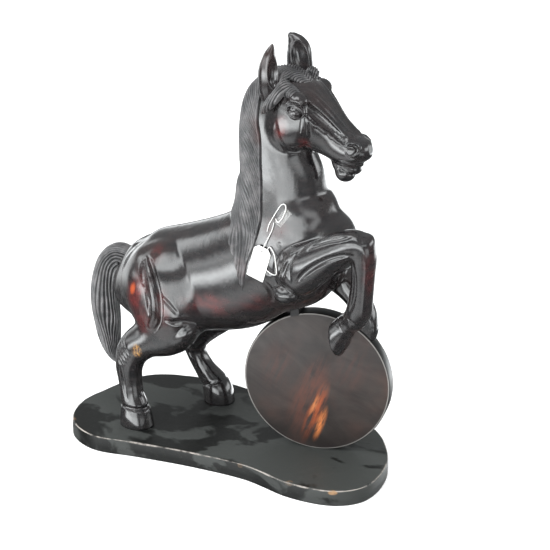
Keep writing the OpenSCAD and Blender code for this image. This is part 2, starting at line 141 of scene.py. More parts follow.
class Block:
    """A box of space on a grid of step h, holding distances in millimetres."""

    def __init__(self, lo, hi, h, band=9):
        self.h, self.band = h, band
        self.i0 = np.floor(np.array(lo) / h).astype(int)
        self.n = np.ceil((np.array(hi) - np.array(lo)) / h).astype(int) + 2
        self.tr = vdb.createLinearTransform(voxelSize=h)
        self.ax = [((self.i0[k] + np.arange(self.n[k])) * h).astype(np.float32) for k in range(3)]
        self.f = None

    def skin(self, mesh):
        v, f = mesh
        g = vdb.FloatGrid.createLevelSetFromPolygons(
            v.astype(np.float32), triangles=f.astype(np.uint32), transform=self.tr,
            halfWidth=float(self.band))
        a = np.empty(tuple(self.n), np.float32)
        g.copyToArray(a, ijk=tuple(int(i) for i in self.i0))
        return a

    def part(self, lo, hi):
        """Slices and coordinates of the part of the grid between two corners."""
        sl, ax = [], []
        for k in range(3):
            a = int(np.clip(math.floor(lo[k] / self.h) - self.i0[k], 0, self.n[k]))
            b = int(np.clip(math.ceil(hi[k] / self.h) - self.i0[k] + 1, 0, self.n[k]))
            sl.append(slice(a, b))
            shape = [1, 1, 1]
            shape[k] = -1
            ax.append(self.ax[k][a:b].reshape(shape))
        return tuple(sl), ax

    def turned(self, c, r, turn):
        """Slices round a shape at c with half sizes r, and coordinates along its own axes."""
        m = np.array(rotation(turn))
        reach = np.abs(m) @ r + 10
        sl, (x, y, z) = self.part(c - reach, c + reach)
        x, y, z = x - c[0], y - c[1], z - c[2]
        return sl, [x * m[0, i] + y * m[1, i] + z * m[2, i] for i in range(3)]

    def ball(self, c, r, turn=(0, 0, 0)):
        """Ellipsoid with centre c and radii r, turned by degrees about x, y and z."""
        r = np.array([r] * 3 if np.isscalar(r) else r, float)
        sl, q = self.turned(np.array(c, float), r, turn)
        k0 = np.sqrt(sum((q[i] / r[i])**2 for i in range(3)))
        k1 = np.sqrt(sum((q[i] / r[i]**2)**2 for i in range(3))) + 1e-9
        return sl, (k0 * (k0 - 1) / k1).astype(np.float32)

    def slab(self, c, r, turn=(0, 0, 0), edge=2.0):
        """Rounded box with centre c and half sizes r."""
        sl, q = self.turned(np.array(c, float), np.array(r, float), turn)
        q = [np.abs(w) - r[i] + edge for i, w in enumerate(q)]
        out = np.sqrt(sum(np.maximum(w, 0)**2 for w in q))
        ins = np.minimum(np.maximum(np.maximum(q[0], q[1]), q[2]), 0)
        return sl, (out + ins - edge).astype(np.float32)

    def chain(self, pts, r, k=4, room=8):
        """A round bar along a smooth line through points; r is one radius or one a point."""
        p = np.asarray(pts, float)
        rr = np.full(len(p), float(r)) if np.isscalar(r) else np.asarray(r, float)
        q = spline(np.hstack([p, rr[:, None]]), k)
        grow = rr.max() + room
        sl, (x, y, z) = self.part(p.min(0) - grow, p.max(0) + grow)
        best = None
        for a, b in zip(q[:-1], q[1:]):
            d = b[:3] - a[:3]
            w = np.clip(((x - a[0]) * d[0] + (y - a[1]) * d[1] + (z - a[2]) * d[2])
                        / max(d @ d, 1e-9), 0, 1)
            e = np.sqrt((x - a[0] - w * d[0])**2 + (y - a[1] - w * d[1])**2
                        + (z - a[2] - w * d[2])**2) - (a[3] + w * (b[3] - a[3]))
            best = e if best is None else np.minimum(best, e)
        return sl, best.astype(np.float32)

    def add(self, shape, k=4.0):
        sl, d = shape
        self.f[sl] = smin(self.f[sl], d, k)

    def cut(self, shape, k=2.0):
        sl, d = shape
        self.f[sl] = smax(self.f[sl], -d, k)

    def twice(self, what, points, *a, side=BOTH, k=3.0, how="add", turn=(0, 0, 0)):
        """Adds or cuts a shape on the right side, the left side or both."""
        for sign in side:
            p = np.array(points, float)
            p[..., 1] *= sign
            more = {"turn": (turn[0] * sign, turn[1], turn[2] * sign)} if what == "ball" else {}
            getattr(self, how)(getattr(self, what)(p, *a, **more), k)

    def onto(self, p, steps=8):
        """Slides points down the slope to the zero surface, and gives the normals there."""
        p = np.array(p, float)
        for _ in range(steps):
            s = self.slope(p)
            size = np.maximum(np.linalg.norm(s, axis=1), 0.3)
            p -= s * (np.clip(self.read(self.f, p) / size, -2.5, 2.5) / size)[:, None]
        s = self.slope(p)
        return p, s / np.maximum(np.linalg.norm(s, axis=1), 1e-6)[:, None]

    def line(self, pts, r, deep, side=BOTH, k=1.2, how="cut"):
        """A groove, or with how="add" a ridge, of radius r that is deep millimetres deep."""
        for sign in side:
            p = np.array(pts, float)
            p[:, 1] *= sign
            more = [np.broadcast_to(np.asarray(w, float), (len(p),)) for w in (r, deep)]
            q = spline(np.column_stack([p, *more]), 3)
            c, n = self.onto(q[:, :3])
            off = (q[:, 3] - q[:, 4]) * (1 if how == "cut" else -1)
            getattr(self, how)(self.chain(c + n * off[:, None], q[:, 3], 1, 6), k)

    def blur(self, times=1):
        for _ in range(times):
            for axis in range(3):
                a = np.moveaxis(self.f, axis, 0)
                b = a.copy()
                b[1:-1] = 0.25 * a[:-2] + 0.5 * a[1:-1] + 0.25 * a[2:]
                self.f = np.moveaxis(b, 0, axis)
        self.f = np.ascontiguousarray(self.f)

    def read(self, a, p):
        """The value of grid a at points p, between its samples."""
        q = p / self.h - self.i0
        i = np.clip(np.floor(q).astype(int), 0, self.n - 2)
        w = np.clip(q - i, 0, 1)
        x, y, z = i.T
        wx, wy, wz = w.T
        out = 0
        for dx in (0, 1):
            for dy in (0, 1):
                for dz in (0, 1):
                    out = out + (a[x + dx, y + dy, z + dz] * (wx if dx else 1 - wx)
                                 * (wy if dy else 1 - wy) * (wz if dz else 1 - wz))
        return out

    def slope(self, p):
        g = np.empty_like(p)
        for k in range(3):
            d = np.zeros(3)
            d[k] = 0.8 * self.h
            g[:, k] = self.read(self.f, p + d) - self.read(self.f, p - d)
        return g / (1.6 * self.h)

    def surface(self):
        """Vertices, their normals and triangles of the zero surface."""
        g = vdb.FloatGrid(float(self.band * self.h))
        g.copyFromArray(np.ascontiguousarray(self.f, np.float32),
                        ijk=tuple(int(i) for i in self.i0))
        g.transform = self.tr
        pts, quads = g.convertToQuads(0.0)
        pts = pts.astype(float)
        for _ in range(2):
            s = self.slope(pts)
            size = np.maximum((s**2).sum(1), 0.2)
            step = np.clip(self.read(self.f, pts) / size, -0.4 * self.h, 0.4 * self.h)
            pts = pts - s * step[:, None]
        s = self.slope(pts)
        nrm = s / np.maximum(np.linalg.norm(s, axis=1), 1e-6)[:, None]
        q = quads.astype(int)
        tri = np.vstack([q[:, [0, 1, 2]], q[:, [0, 2, 3]]])
        x = pts[tri[:2000]]
        face = np.cross(x[:, 1] - x[:, 0], x[:, 2] - x[:, 0])
        if np.einsum("ij,ij->i", face, nrm[tri[:2000, 0]]).sum() < 0:
            tri = tri[:, ::-1]
        return pts, nrm, tri


def rotation(turn):
    x, y, z = (math.radians(t) for t in turn)
    return (Matrix.Rotation(z, 3, "Z") @ Matrix.Rotation(y, 3, "Y") @ Matrix.Rotation(x, 3, "X"))


# ---------------------------------------------------------------- meshes
def divide(mesh, s):
    """Cuts a mesh where s is zero. Gives the part where s is over zero, then the rest."""
    v, n, t = mesh
    up = s > 0
    count = up[t].sum(1)
    mix = t[(count == 1) | (count == 2)]
    if not len(mix):
        return tidy(v, n, t[count == 3]), tidy(v, n, t[count == 0])
    top = up[mix]
    lone = np.where((top.sum(1) == 1)[:, None], top, ~top).argmax(1)
    r = np.arange(len(mix))
    a, b, c = mix[r, lone], mix[r, (lone + 1) % 3], mix[r, (lone + 2) % 3]
    e = np.sort(np.vstack([np.stack([a, b], 1), np.stack([a, c], 1)]), 1)
    u, inv = np.unique(e, axis=0, return_inverse=True)
    inv = inv.reshape(-1)
    w = (s[u[:, 0]] / (s[u[:, 0]] - s[u[:, 1]]))[:, None]
    v2 = np.vstack([v, v[u[:, 0]] * (1 - w) + v[u[:, 1]] * w])
    m = n[u[:, 0]] * (1 - w) + n[u[:, 1]] * w
    n2 = np.vstack([n, m / np.maximum(np.linalg.norm(m, axis=1), 1e-9)[:, None]])
    ab, ac = len(v) + inv[:len(mix)], len(v) + inv[len(mix):]
    tip = np.stack([a, ab, ac], 1)
    rest = np.vstack([np.stack([ab, b, c], 1), np.stack([ab, c, ac], 1)])
    tip_up = up[a]
    rest_up = np.concatenate([~tip_up, ~tip_up])
    above = np.vstack([t[count == 3], tip[tip_up], rest[rest_up]])
    below = np.vstack([t[count == 0], tip[~tip_up], rest[~rest_up]])
    return tidy(v2, n2, above), tidy(v2, n2, below)


def tidy(v, n, t):
    used = np.unique(t)
    new = np.zeros(len(v), int)
    new[used] = np.arange(len(used))
    return v[used], n[used], new[t]


def piece(name, v, faces, body, material, nodes, normals=None, close=False):
    """Makes a mesh piece from millimetres, on a body, in a slot, for some CAD nodes."""
    me = bpy.data.meshes.new(name)
    me.from_pydata(np.asarray(v, float) * MM, [], faces)
    me.validate()
    if close:
        bm = bmesh.new()
        bm.from_mesh(me)
        bmesh.ops.holes_fill(bm, edges=[e for e in bm.edges if e.is_boundary], sides=0)
        bm.to_mesh(me)
        bm.free()
    me.polygons.foreach_set("use_smooth", [True] * len(me.polygons))
    if normals is not None:
        me.normals_split_custom_set_from_vertices([tuple(w) for w in normals])
    me.materials.append(material)
    return mounted(put(name, me), body, nodes)


def put(name, data):
    """A new object in the scene."""
    ob = bpy.data.objects.new(name, data)
    bpy.context.scene.collection.objects.link(ob)
    return ob


def mounted(ob, body, nodes):
    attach(ob, body)
    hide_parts(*nodes)
    return ob


# ---------------------------------------------------------------- the horse
TORSO = [
    [-196, 0, 240, 10, 13], [-187, 0, 236, 34, 38], [-165, 0, 234, 52, 56], [-119, 0, 238, 61, 75],
    [-60, 0, 256, 62, 79], [0, 0, 277, 63, 83], [50, 0, 306, 61, 80], [103, 0, 331, 58, 76.5],
    [139, 0, 350, 50, 56], [167, 0, 360, 38, 42], [182, 0, 365, 24, 26], [189, 0, 367.5, 9, 10.5]]
NECK = [
    [90, 0, 330, 48, 74], [86, 0, 360, 55, 81], [83.2, 0, 388, 53, 80.2], [79, 0, 415, 48, 69],
    [77, 0, 442, 44, 62], [69.5, 0, 475, 41, 54], [66, 0, 508, 38, 50], [68, 0, 540, 35, 46],
    [72, 0, 562, 29, 36], [76, 0, 576, 18, 20], [78, 0, 582, 6, 8]]
HEAD = [
    [66, 0, 562, 20, 22], [79, 0, 557, 36, 34], [101, 0, 546, 43, 42.5], [122, 0, 531, 40, 40],
    [140, 0, 519.5, 32, 36], [158, 0, 509.5, 26, 30], [175, 0, 501, 25, 27], [189, 0, 498, 25, 24],
    [200, 0, 499.5, 21.5, 18], [209, 0, 501.5, 15, 13], [213, 0, 502.5, 7, 7]]
THIGH = [
    [-112, -38, 302, 8, 12], [-111, -40, 292, 26, 36], [-105, -43, 268, 37, 53],
    [-95, -46, 234, 38, 57], [-83, -50, 200, 33, 50], [-75, -52, 172, 21, 37],
    [-71, -52, 156, 7, 12]]
NEAR_HIND = [
    [-66, -50, 190, 22, 26], [-90, -54, 178, 26, 32], [-118, -57, 165, 25, 28],
    [-139, -60, 145, 22, 25], [-147, -62, 120, 18, 21], [-146, -62, 95, 16, 18],
    [-144, -62, 75, 16, 17.5], [-141, -61, 58, 18, 20.5], [-139, -60, 42, 21, 24],
    [-137, -60, 18, 23, 27]]
FAR_HIND = [
    [-44, 50, 199, 22, 28], [-65, 53, 178, 26, 32], [-89, 57, 152, 23, 27.5],
    [-106, 61, 128, 20, 22], [-112, 64, 108, 16, 17], [-106, 66, 88, 15, 15],
    [-95, 67, 70, 15, 16], [-83, 68, 55, 18, 20], [-75, 68, 41, 21, 23], [-72, 68, 18, 22, 24]]
NEAR_ARM = [
    [110, -46, 302, 14, 18], [122, -50, 315, 22, 32], [138, -53, 328, 23.5, 34],
    [157, -55, 342, 23, 30], [180, -56, 361, 21, 25.5], [201, -55, 376.5, 19, 22.5],
    [218, -53, 385, 18, 19.5], [230, -51, 388.5, 15, 15]]
NEAR_SHIN = [
    [232, -51, 399, 8, 7], [232, -50, 391, 16, 14], [231, -48, 372, 19, 18],
    [229, -45, 348, 17, 17], [226, -41, 323, 14.5, 16.5], [221, -36, 299, 14.5, 17.5],
    [216, -31, 277, 16, 18.5], [207, -26, 260, 15.5, 17.5], [198, -22, 251, 15.5, 16],
    [190, -20, 243, 17, 16.5], [181, -19, 231, 19, 18.5], [171, -17, 216, 21, 21],
    [158, -15, 198, 22, 22]]
FAR_ARM = [
    [108, 38, 318, 18, 24], [126, 42, 302, 24, 27], [150, 42, 281, 21, 23], [169, 40, 265, 18, 19],
    [183, 37.5, 250, 17, 17.5], [191, 35.5, 236, 17, 17.5], [194.5, 34, 222, 16.5, 17],
    [194, 33, 208, 15, 15], [191.5, 32, 195, 13, 13]]
TAIL = [
    [-180, 0, 258, 14, 16], [-198, -2, 261, 17, 19], [-213, -5, 246, 19, 21],
    [-220, -9, 216, 20, 22], [-220, -12, 186, 20, 22], [-216, -14, 159, 18, 21],
    [-210, -19, 138, 15, 19], [-202, -25, 122, 12, 15], [-192, -31, 111, 8, 10],
    [-182, -37, 106, 3, 4]]
NEAR_EAR = [
    [74, -33, 560, 10, 12], [75, -36, 580, 14, 14], [75, -38, 602, 13, 14], [77, -39, 622, 9, 9],
    [80, -39, 634, 5, 5], [82, -39, 641, 1.5, 1.5]]
FAR_EAR = [
    [86, 33, 562, 10, 15], [84, 35, 582, 13, 19], [82, 36, 598, 13, 19.5], [80, 37, 612, 12, 18],
    [75.5, 37, 622, 9, 14.5], [71, 36, 628.5, 6, 9], [67.5, 35, 632.5, 4, 4.5],
    [66, 35, 634.5, 1.5, 1.5]]
LOCKS = [
    [52, 0, 584, 6, 3], [66, 0, 589, 15, 7], [84, 0, 592, 20, 8], [102, 0, 588, 18, 7],
    [118, 0, 578, 12, 6], [130, 0, 567, 4, 3]]

BASE_TOP = 24
DISC_R, DISC_T, DISC_YAW = 107.5, 23, 14.3
DISC_C = np.array([127.5, 14.3, BASE_TOP + DISC_R - 0.6])
DISC_N = np.array([-math.sin(math.radians(DISC_YAW)), math.cos(math.radians(DISC_YAW)), 0])
DISC_X = np.array([DISC_N[1], -DISC_N[0], 0])
NECK_Z, HEAD_Z = 392, 484
NEAR_HIND_CUT = ([-100, -55, 171], [-0.84, 0, -0.54])
FAR_HIND_CUT = ([-76, 55, 168], [-0.66, 0, -0.75])
NEAR_FORE_CUT = ([142, -56, 327], [0.79, 0, 0.61])
FAR_FORE_CUT = ([133, 42, 296], [0.76, 0, -0.65])

# carved lines of the face, right side, in order from the eye to the nose
CREST = [
    (127, -36, 564), (135, -30, 567), (143, -27, 562), (153, -24, 554), (162, -20, 543),
    (172, -16, 531), (186, -14, 517)]
CREASE_A = [(131, -40, 553), (146, -33.5, 544), (157, -28, 532), (170, -23.5, 522), (183, -20, 514)]
CREASE_B = [(137, -38, 547), (148, -33, 538), (160, -28, 529), (171, -24, 521), (184, -21, 511)]


def neck_and_head(b):
    """The neck and the head with their large shapes joined. Gives the neck's own field."""
    neck = b.skin(loft(NECK))
    b.f = b.skin(loft(HEAD))
    b.twice("ball", (101, -29, 521), (31, 16, 29), turn=(0, 32, 0), k=7)
    b.twice("ball", (119, -34, 563), (15, 11.5, 14.5), turn=(0, 32, 0), k=4)
    b.add(b.ball((175, 0, 462.5), (14.5, 14.5, 13.7)), 8)
    b.add(b.ball((165, 0, 475), (9.5, 12, 9.5)), 7)
    b.add(b.ball((188, 0, 472), (11.5, 13, 9.5), turn=(0, 20, 0)), 5)
    b.f = smin(b.f, neck, 9)
    return neck


def face_details(b):
    """Eyes, lids, crests, nostrils, mouth, jowl and wrinkles, on the fine grid."""
    # hollow behind the jowl
    b.twice("chain", [(86, -51, 548), (89, -50, 530), (92, -47, 512), (101, -40, 496),
                      (115, -30, 487), (128, -20, 485)], 4.5, k=4, how="cut")
    # trough under the facial crest, the crest, and the fine double crease with its ridge
    b.line([(134, -40, 562), (146, -36, 553), (158, -31, 541), (170, -26, 528), (182, -23, 518)],
           [8, 10, 10, 8, 5], [1.6, 5.4, 5.8, 4.2, 1.2], k=2)
    b.line(CREST, [1.8, 2.4, 2.4, 2.4, 2.2, 2.0, 1.6], [1.0, 2.6, 3.0, 2.8, 2.4, 1.8, 0.8],
           how="add", k=1.3)
    for line in (CREASE_A, CREASE_B):
        b.line(line, 1.5, [1.2, 2.2, 2.2, 2.0, 1.0], k=0.5)
    b.line([(140, -38, 541), (150, -33, 534), (162, -28, 525), (174, -24, 515), (185, -21, 507)],
           [2, 2.6, 2.6, 2.4, 1.6], [0.8, 2.4, 2.6, 2.2, 0.6], how="add", k=1.2)
    # edges of the nose bone, and the flat between them
    b.line([(126, -22, 580), (140, -17, 571), (156, -14, 558), (174, -11, 540), (194, -9, 517)],
           2.8, [0.4, 1.2, 1.5, 1.3, 0.4], how="add", k=4)
    b.cut(b.chain([(140, 0, 580), (156, 0, 566), (174, 0, 547), (190, 0, 527)], 7), 6)
    # wrinkles of the cheek
    for top, low in (((128, -41, 544), (126, -40, 524)), ((133, -39, 543), (133, -37, 517)),
                     ((138, -38, 540), (139, -35, 517))):
        mid = tuple((p + q) / 2 for p, q in zip(top, low))
        b.line([top, mid, low], 1.3, [0.2, 0.6, 0.1], k=1.0)
    # eyes: a socket, a ball, lids and two folds over them
    eye, out = np.array([119, -38.5, 555]), unit((0.34, -0.88, 0.32))
    for sign in (1, -1):
        e = b.onto((eye * (1, sign, 1))[None])[0][0]
        n = out * (1, sign, 1)
        fwd = np.array([0.86, 0.16 * sign, -0.40])
        fwd = unit(fwd - n * (fwd @ n))
        top = np.cross(fwd, n)
        top = top if top[2] > 0 else -top
        b.cut(b.ball(e + n * 4.5, (14.5, 8, 12.5), turn=(0, 28, 0)), 2)
        b.add(b.ball(e - n * 5.6, 10.6), 0.5)

        def arc(ra, rb, lift, a0, a1, r, count=11):
            a = np.radians(np.linspace(a0, a1, count))
            pts = (e + fwd * (ra * np.cos(a))[:, None] + top * (rb * np.sin(a))[:, None]
                   + n * (lift - 2.6 * np.cos(a)**2)[:, None])
            return b.chain(pts, r * (0.5 + 0.5 * np.abs(np.sin(a))), 2, 5)

        b.add(arc(12.6, 7.2, 2.4, -12, 192, 2.3), 0.9)
        b.add(arc(12.8, 7.8, 1.4, 182, 358, 1.9), 0.9)
        b.cut(arc(13.8, 10.2, 3.0, 0, 180, 1.0), 0.5)
        b.add(arc(14.6, 12.4, 1.6, 8, 172, 2.1), 1.0)
        b.cut(arc(15.6, 15.0, 2.0, 10, 170, 1.1), 0.6)
        b.add(arc(16.5, 17.4, 0.8, 25, 165, 2.0), 1.4)
        b.cut(arc(14.2, 10.6, 1.0, 190, 350, 1.1), 0.8)
        b.line([(129, -39, 551), (134, -37.5, 548), (140, -35.5, 544)], 1.2, [1.2, 1.0, 0.3],
               side=(sign,), k=0.6)
    # nostril: a comma-shaped hole with a raised wing over it
    hole, face = np.array([196, -18.5, 503]), unit((0.62, -0.76, 0.15))
    b.twice("ball", hole - face * 3, (9, 6, 9), turn=(0, 35, 0), k=4)
    b.line([(187, -22, 510), (192, -21, 515), (198, -18, 516), (203, -15, 512), (204, -14, 506),
            (202, -15, 500)], [1.4, 2.0, 2.2, 2.0, 1.6, 1.0], [0.6, 1.8, 2.2, 1.8, 1.2, 0.2],
           how="add", k=1.0)
    b.line([(190, -22, 509), (195, -20, 511), (199.5, -17.5, 508), (200, -17, 503),
            (196.5, -18.5, 499)], [1.0, 1.8, 2.7, 2.5, 1.2], [0.8, 2.4, 3.8, 2.8, 0.6], k=0.7)
    b.line([(188, -23, 505), (189, -22, 498), (194, -19, 494), (200, -15, 494)], 1.4,
           [0.2, 1.2, 1.2, 0.2], k=1.0)
    # mouth, lips and chin crease
    b.line([(178, -24, 488), (184, -24, 485.5), (192, -20, 483.5), (201, -13, 483),
            (205, -5, 483), (206, 0, 483)], 1.7, [0.6, 2.2, 2.6, 2.8, 2.8, 2.8], k=0.8)
    b.line([(180, -22, 480), (187, -17, 479), (194, -12, 478), (199, -5, 478), (200, 0, 478)],
           2.2, [0.3, 1.2, 1.4, 1.4, 1.4], how="add", k=1.6)
    b.line([(170, -17, 475), (178, -15, 471.5), (185, -10, 469.5), (188, 0, 468.5)], 1.8,
           [0.3, 1.4, 1.6, 1.6], k=1.6)


def horse_body(b):
    """The whole horse but its hair and ears: fields of its parts, joined and carved."""
    torso = b.skin(loft(TORSO))
    thighs = b.skin(loft(THIGH))
    far = [[r[0] + 6, *r[1:]] for r in mirrored(THIGH)]
    thighs = np.minimum(thighs, b.skin(loft(far)))
    near_hind, far_hind = b.skin(loft(NEAR_HIND)), b.skin(loft(FAR_HIND))
    near_arm, shin = b.skin(loft(NEAR_ARM)), b.skin(loft(NEAR_SHIN))
    far_arm = b.skin(loft(FAR_ARM))
    neck = neck_and_head(b)
    b.f = smin(smin(torso, thighs, 24), b.f, 6)
    # points of the hips and the flat of the croup
    b.twice("ball", (-100, -40, 293), (29, 20, 21), turn=(0, -20, 0), k=10)
    b.add(b.slab((-106, 0, 302), (58, 23, 14), turn=(0, -23.6, 0), edge=2.5), 3)
    # the far hoof stays behind the disc's near face; the raised hoof's sole is a flat cut
    x, y, z = b.ax[0][:, None, None], b.ax[1][None, :, None], b.ax[2][None, None, :]
    near = -DISC_T / 2 + 1.5 - (x - DISC_C[0]) * DISC_N[0] - (y - DISC_C[1]) * DISC_N[1]
    far_arm = smax(far_arm, near + 0 * z, 1).astype(np.float32)
    b.f = smin(b.f, far_arm, 8)
    sole = ((x - 171.5) * -0.97 + (z - 216) * -0.25) / math.hypot(0.97, 0.25)
    shin = smax(shin, sole + 0 * y, 1.5).astype(np.float32)
    b.f = smin(smin(b.f, near_arm, 6), shin, 5)
    b.f = smin(smin(b.f, near_hind, 8), far_hind, 8)
    b.blur(2)
    for side, dx in ((RIGHT, 0), (LEFT, 6)):
        def shift(p):
            return [(q[0] + dx, *q[1:]) for q in p]
        # leaf-shaped hollow under the hip and the slit below it
        b.line(shift([(-113, -70, 299), (-112, -77, 289), (-108, -83, 276), (-103, -87, 262)]),
               [3, 7, 7, 3], [0.4, 4.4, 4.4, 0.8], side=side, k=1.2)
        b.line(shift([(-102, -84, 258), (-98, -86, 247), (-96, -87, 234), (-96, -86, 220)]),
               [2, 4, 4, 2], [0.6, 3.2, 3.0, 0.2], side=side, k=1.4)
        # strap of muscle between two long creases
        b.line(shift([(-107, -69, 297), (-99, -75, 281), (-92, -79, 262), (-88, -82, 242),
                      (-88, -82, 221), (-95, -80, 202)]), 6, [0.4, 2.6, 3.0, 3.0, 2.6, 0.4],
               side=side, how="add", k=2)
        b.line(shift([(-109, -66, 301), (-98, -72, 292), (-88, -79, 278), (-81, -83, 261),
                      (-77, -85, 243), (-76, -86, 225), (-79, -85, 208), (-89, -83, 194)]),
               3.6, [0.2, 2.6, 3.8, 4.2, 4.2, 3.8, 2.8, 0.4], side=side, k=1.4)
        # stifle, and the folds in front of it
        b.twice("ball", shift([(-54, -58, 187)])[0], (28, 19, 15), turn=(0, -48, 0),
                side=side, k=4)
        b.line(shift([(-68, -80, 216), (-56, -79, 214), (-44, -72, 216), (-35, -62, 212)]),
               4, [0.3, 3.2, 3.2, 0.4], side=side, k=2)
        b.line(shift([(-78, -83, 253), (-66, -82, 242), (-54, -79, 229)]), 3,
               [0.2, 1.6, 0.2], side=side, k=2)
    # the back edge of the shoulder and the hollows round the point of the shoulder
    b.line([(104, -70, 362), (108, -74, 348), (110, -74, 334), (109, -70, 320)],
           4.5, [0.3, 2.6, 2.8, 0.4], k=2.5)
    b.line([(132, -66, 352), (124, -72, 340), (119, -74, 328), (117, -70, 318)], 3.8,
           [0.3, 3.2, 3.2, 0.4], k=1.6)
    b.line([(150, -62, 374), (139, -68, 360), (131, -72, 345), (129, -73, 330), (132, -70, 317)],
           4, [0.3, 2.8, 3.2, 2.6, 0.3], side=RIGHT, k=1.6)
    b.line([(80, -64, 300), (88, -66, 290), (92, -64, 278), (90, -60, 266)], 5,
           [0.2, 1.8, 1.8, 0.2], k=3)
    # bands of muscle of the raised arm
    b.line([(159, -66, 365), (168, -68, 376), (185, -68, 385), (204, -66, 391), (219, -62, 395)],
           3.4, [0.3, 2.8, 3.2, 2.8, 0.3], side=RIGHT, k=1.0)
    b.line([(140, -72, 318), (154, -76, 335), (172, -76, 351), (192, -74, 364), (211, -70, 372),
            (224, -66, 372)], 4.6, [0.4, 3.6, 4.2, 4.0, 3.0, 0.5], side=RIGHT, k=1.2)
    # point of the elbow, a round knob
    b.twice("ball", (114, -56, 288), (20, 15.5, 15), turn=(0, -8, 0), k=3)
    # tendons of the raised shin and its flat front
    b.line([(221, -64, 362), (221, -62, 340), (218, -58, 315), (213, -53, 291), (206, -46, 274)],
           3.2, [0.3, 3.0, 3.2, 2.8, 0.3], side=RIGHT, k=0.9)
    b.line([(238, -60, 378), (240, -60, 355), (236, -54, 326), (231, -48, 293), (226, -42, 272)],
           2.4, [0.3, 1.6, 1.8, 1.6, 0.3], side=RIGHT, k=1.0, how="add")
    ring_cut(b, (193, -20.5, 246), (0.62, -0.2, 0.76), 19, 20, 2.6)
    ring_cut(b, (210, -27, 266), (0.5, -0.25, 0.83), 17.5, 19.5, 1.8)
    ring_cut(b, (194, 34, 222), (-0.1, 0, 1), 19, 19.5, 1.6)
    # tendons and hooves of the standing legs
    ring_cut(b, (-141, -60.7, 57), (0.06, 0, 1), 20.3, 23.4, 3.0)
    ring_cut(b, (-81, 68, 56), (-0.35, 0, 0.94), 20.3, 22.8, 3.0)
    b.line([(-150, -78, 134), (-149, -78, 112), (-147, -78, 90), (-143, -78, 70)], 3,
           [0.3, 2.8, 2.8, 0.3], side=RIGHT, k=1.6)
    # the hair of the tail runs out over the hock
    for i in range(5):
        b.line([(-150 - 3.2 * i, -70, 177 - 5.2 * i), (-143 - 3.4 * i, -76, 160 - 5.6 * i),
                (-132 - 3.8 * i, -79, 143 - 5.4 * i)], 1.8, [0.5, 1.9, 0.3], side=RIGHT, k=0.8)
    b.line([(-118, -46, 118), (-113, -48, 100), (-104, -50, 84)], 3, [0.3, 2, 0.3],
           side=LEFT, k=1.6)
    b.twice("ball", (-139, -60, 84), (8, 13, 7), side=RIGHT, k=5)
    # the wood dips a little under two short stretches of the string
    b.cut(b.chain([(77.9, -60.2, 344.4), (78.4, -58.8, 340.6), (80.2, -58.6, 338.8),
                   (82.4, -58.6, 338.6), (84.2, -58.6, 340.8), (85.2, -58.6, 345)], 2.4), 1.5)
    b.line([(90, -60.6, 316), (86, -60.4, 318.4), (82.5, -60, 321), (79, -59.8, 324)], 7,
           [0.4, 1.3, 1.6, 0.4], side=RIGHT, k=2)
    sl, (x, y, z) = b.part((-400, -400, 0), (400, 400, 40))
    b.f[sl] = np.maximum(b.f[sl], BASE_TOP - 0.2 - z)
    # the disc's own space
    x, y, z = b.ax[0][:, None, None] - DISC_C[0], b.ax[1][None, :, None] - DISC_C[1], \
        b.ax[2][None, None, :] - DISC_C[2]
    across = x * DISC_X[0] + y * DISC_X[1]
    through = np.abs(x * DISC_N[0] + y * DISC_N[1]) - DISC_T / 2 - 0.3
    rim = np.sqrt(across**2 + z**2) - DISC_R - 0.3
    b.f = np.maximum(b.f, -np.maximum(rim, through)).astype(np.float32)
    return dict(torso=np.minimum(torso, thighs), neck=neck, near_hind=near_hind,
                far_hind=far_hind, near_fore=np.minimum(near_arm, shin), shin=shin,
                far_fore=far_arm)


def ring_cut(b, c, n, ra, rb, tube, k=2.2):
    """A groove round a leg: c is on its centre line and n along it."""
    n = unit(n)
    a = unit(np.cross((0, 1, 0), n))
    w = np.linspace(0, 2 * math.pi, 33)
    side = np.cross(n, a)
    pts = [np.array(c) + side * ra * math.cos(i) + a * rb * math.sin(i) for i in w]
    b.cut(b.chain(pts, tube, 1, 6), k)


def past(p, cut):
    """How far points are past a glue plane."""
    return (p - np.array(cut[0])) @ unit(cut[1])


def ease(t):
    t = np.clip(t, 0, 1)
    return t * t * (3 - 2 * t)


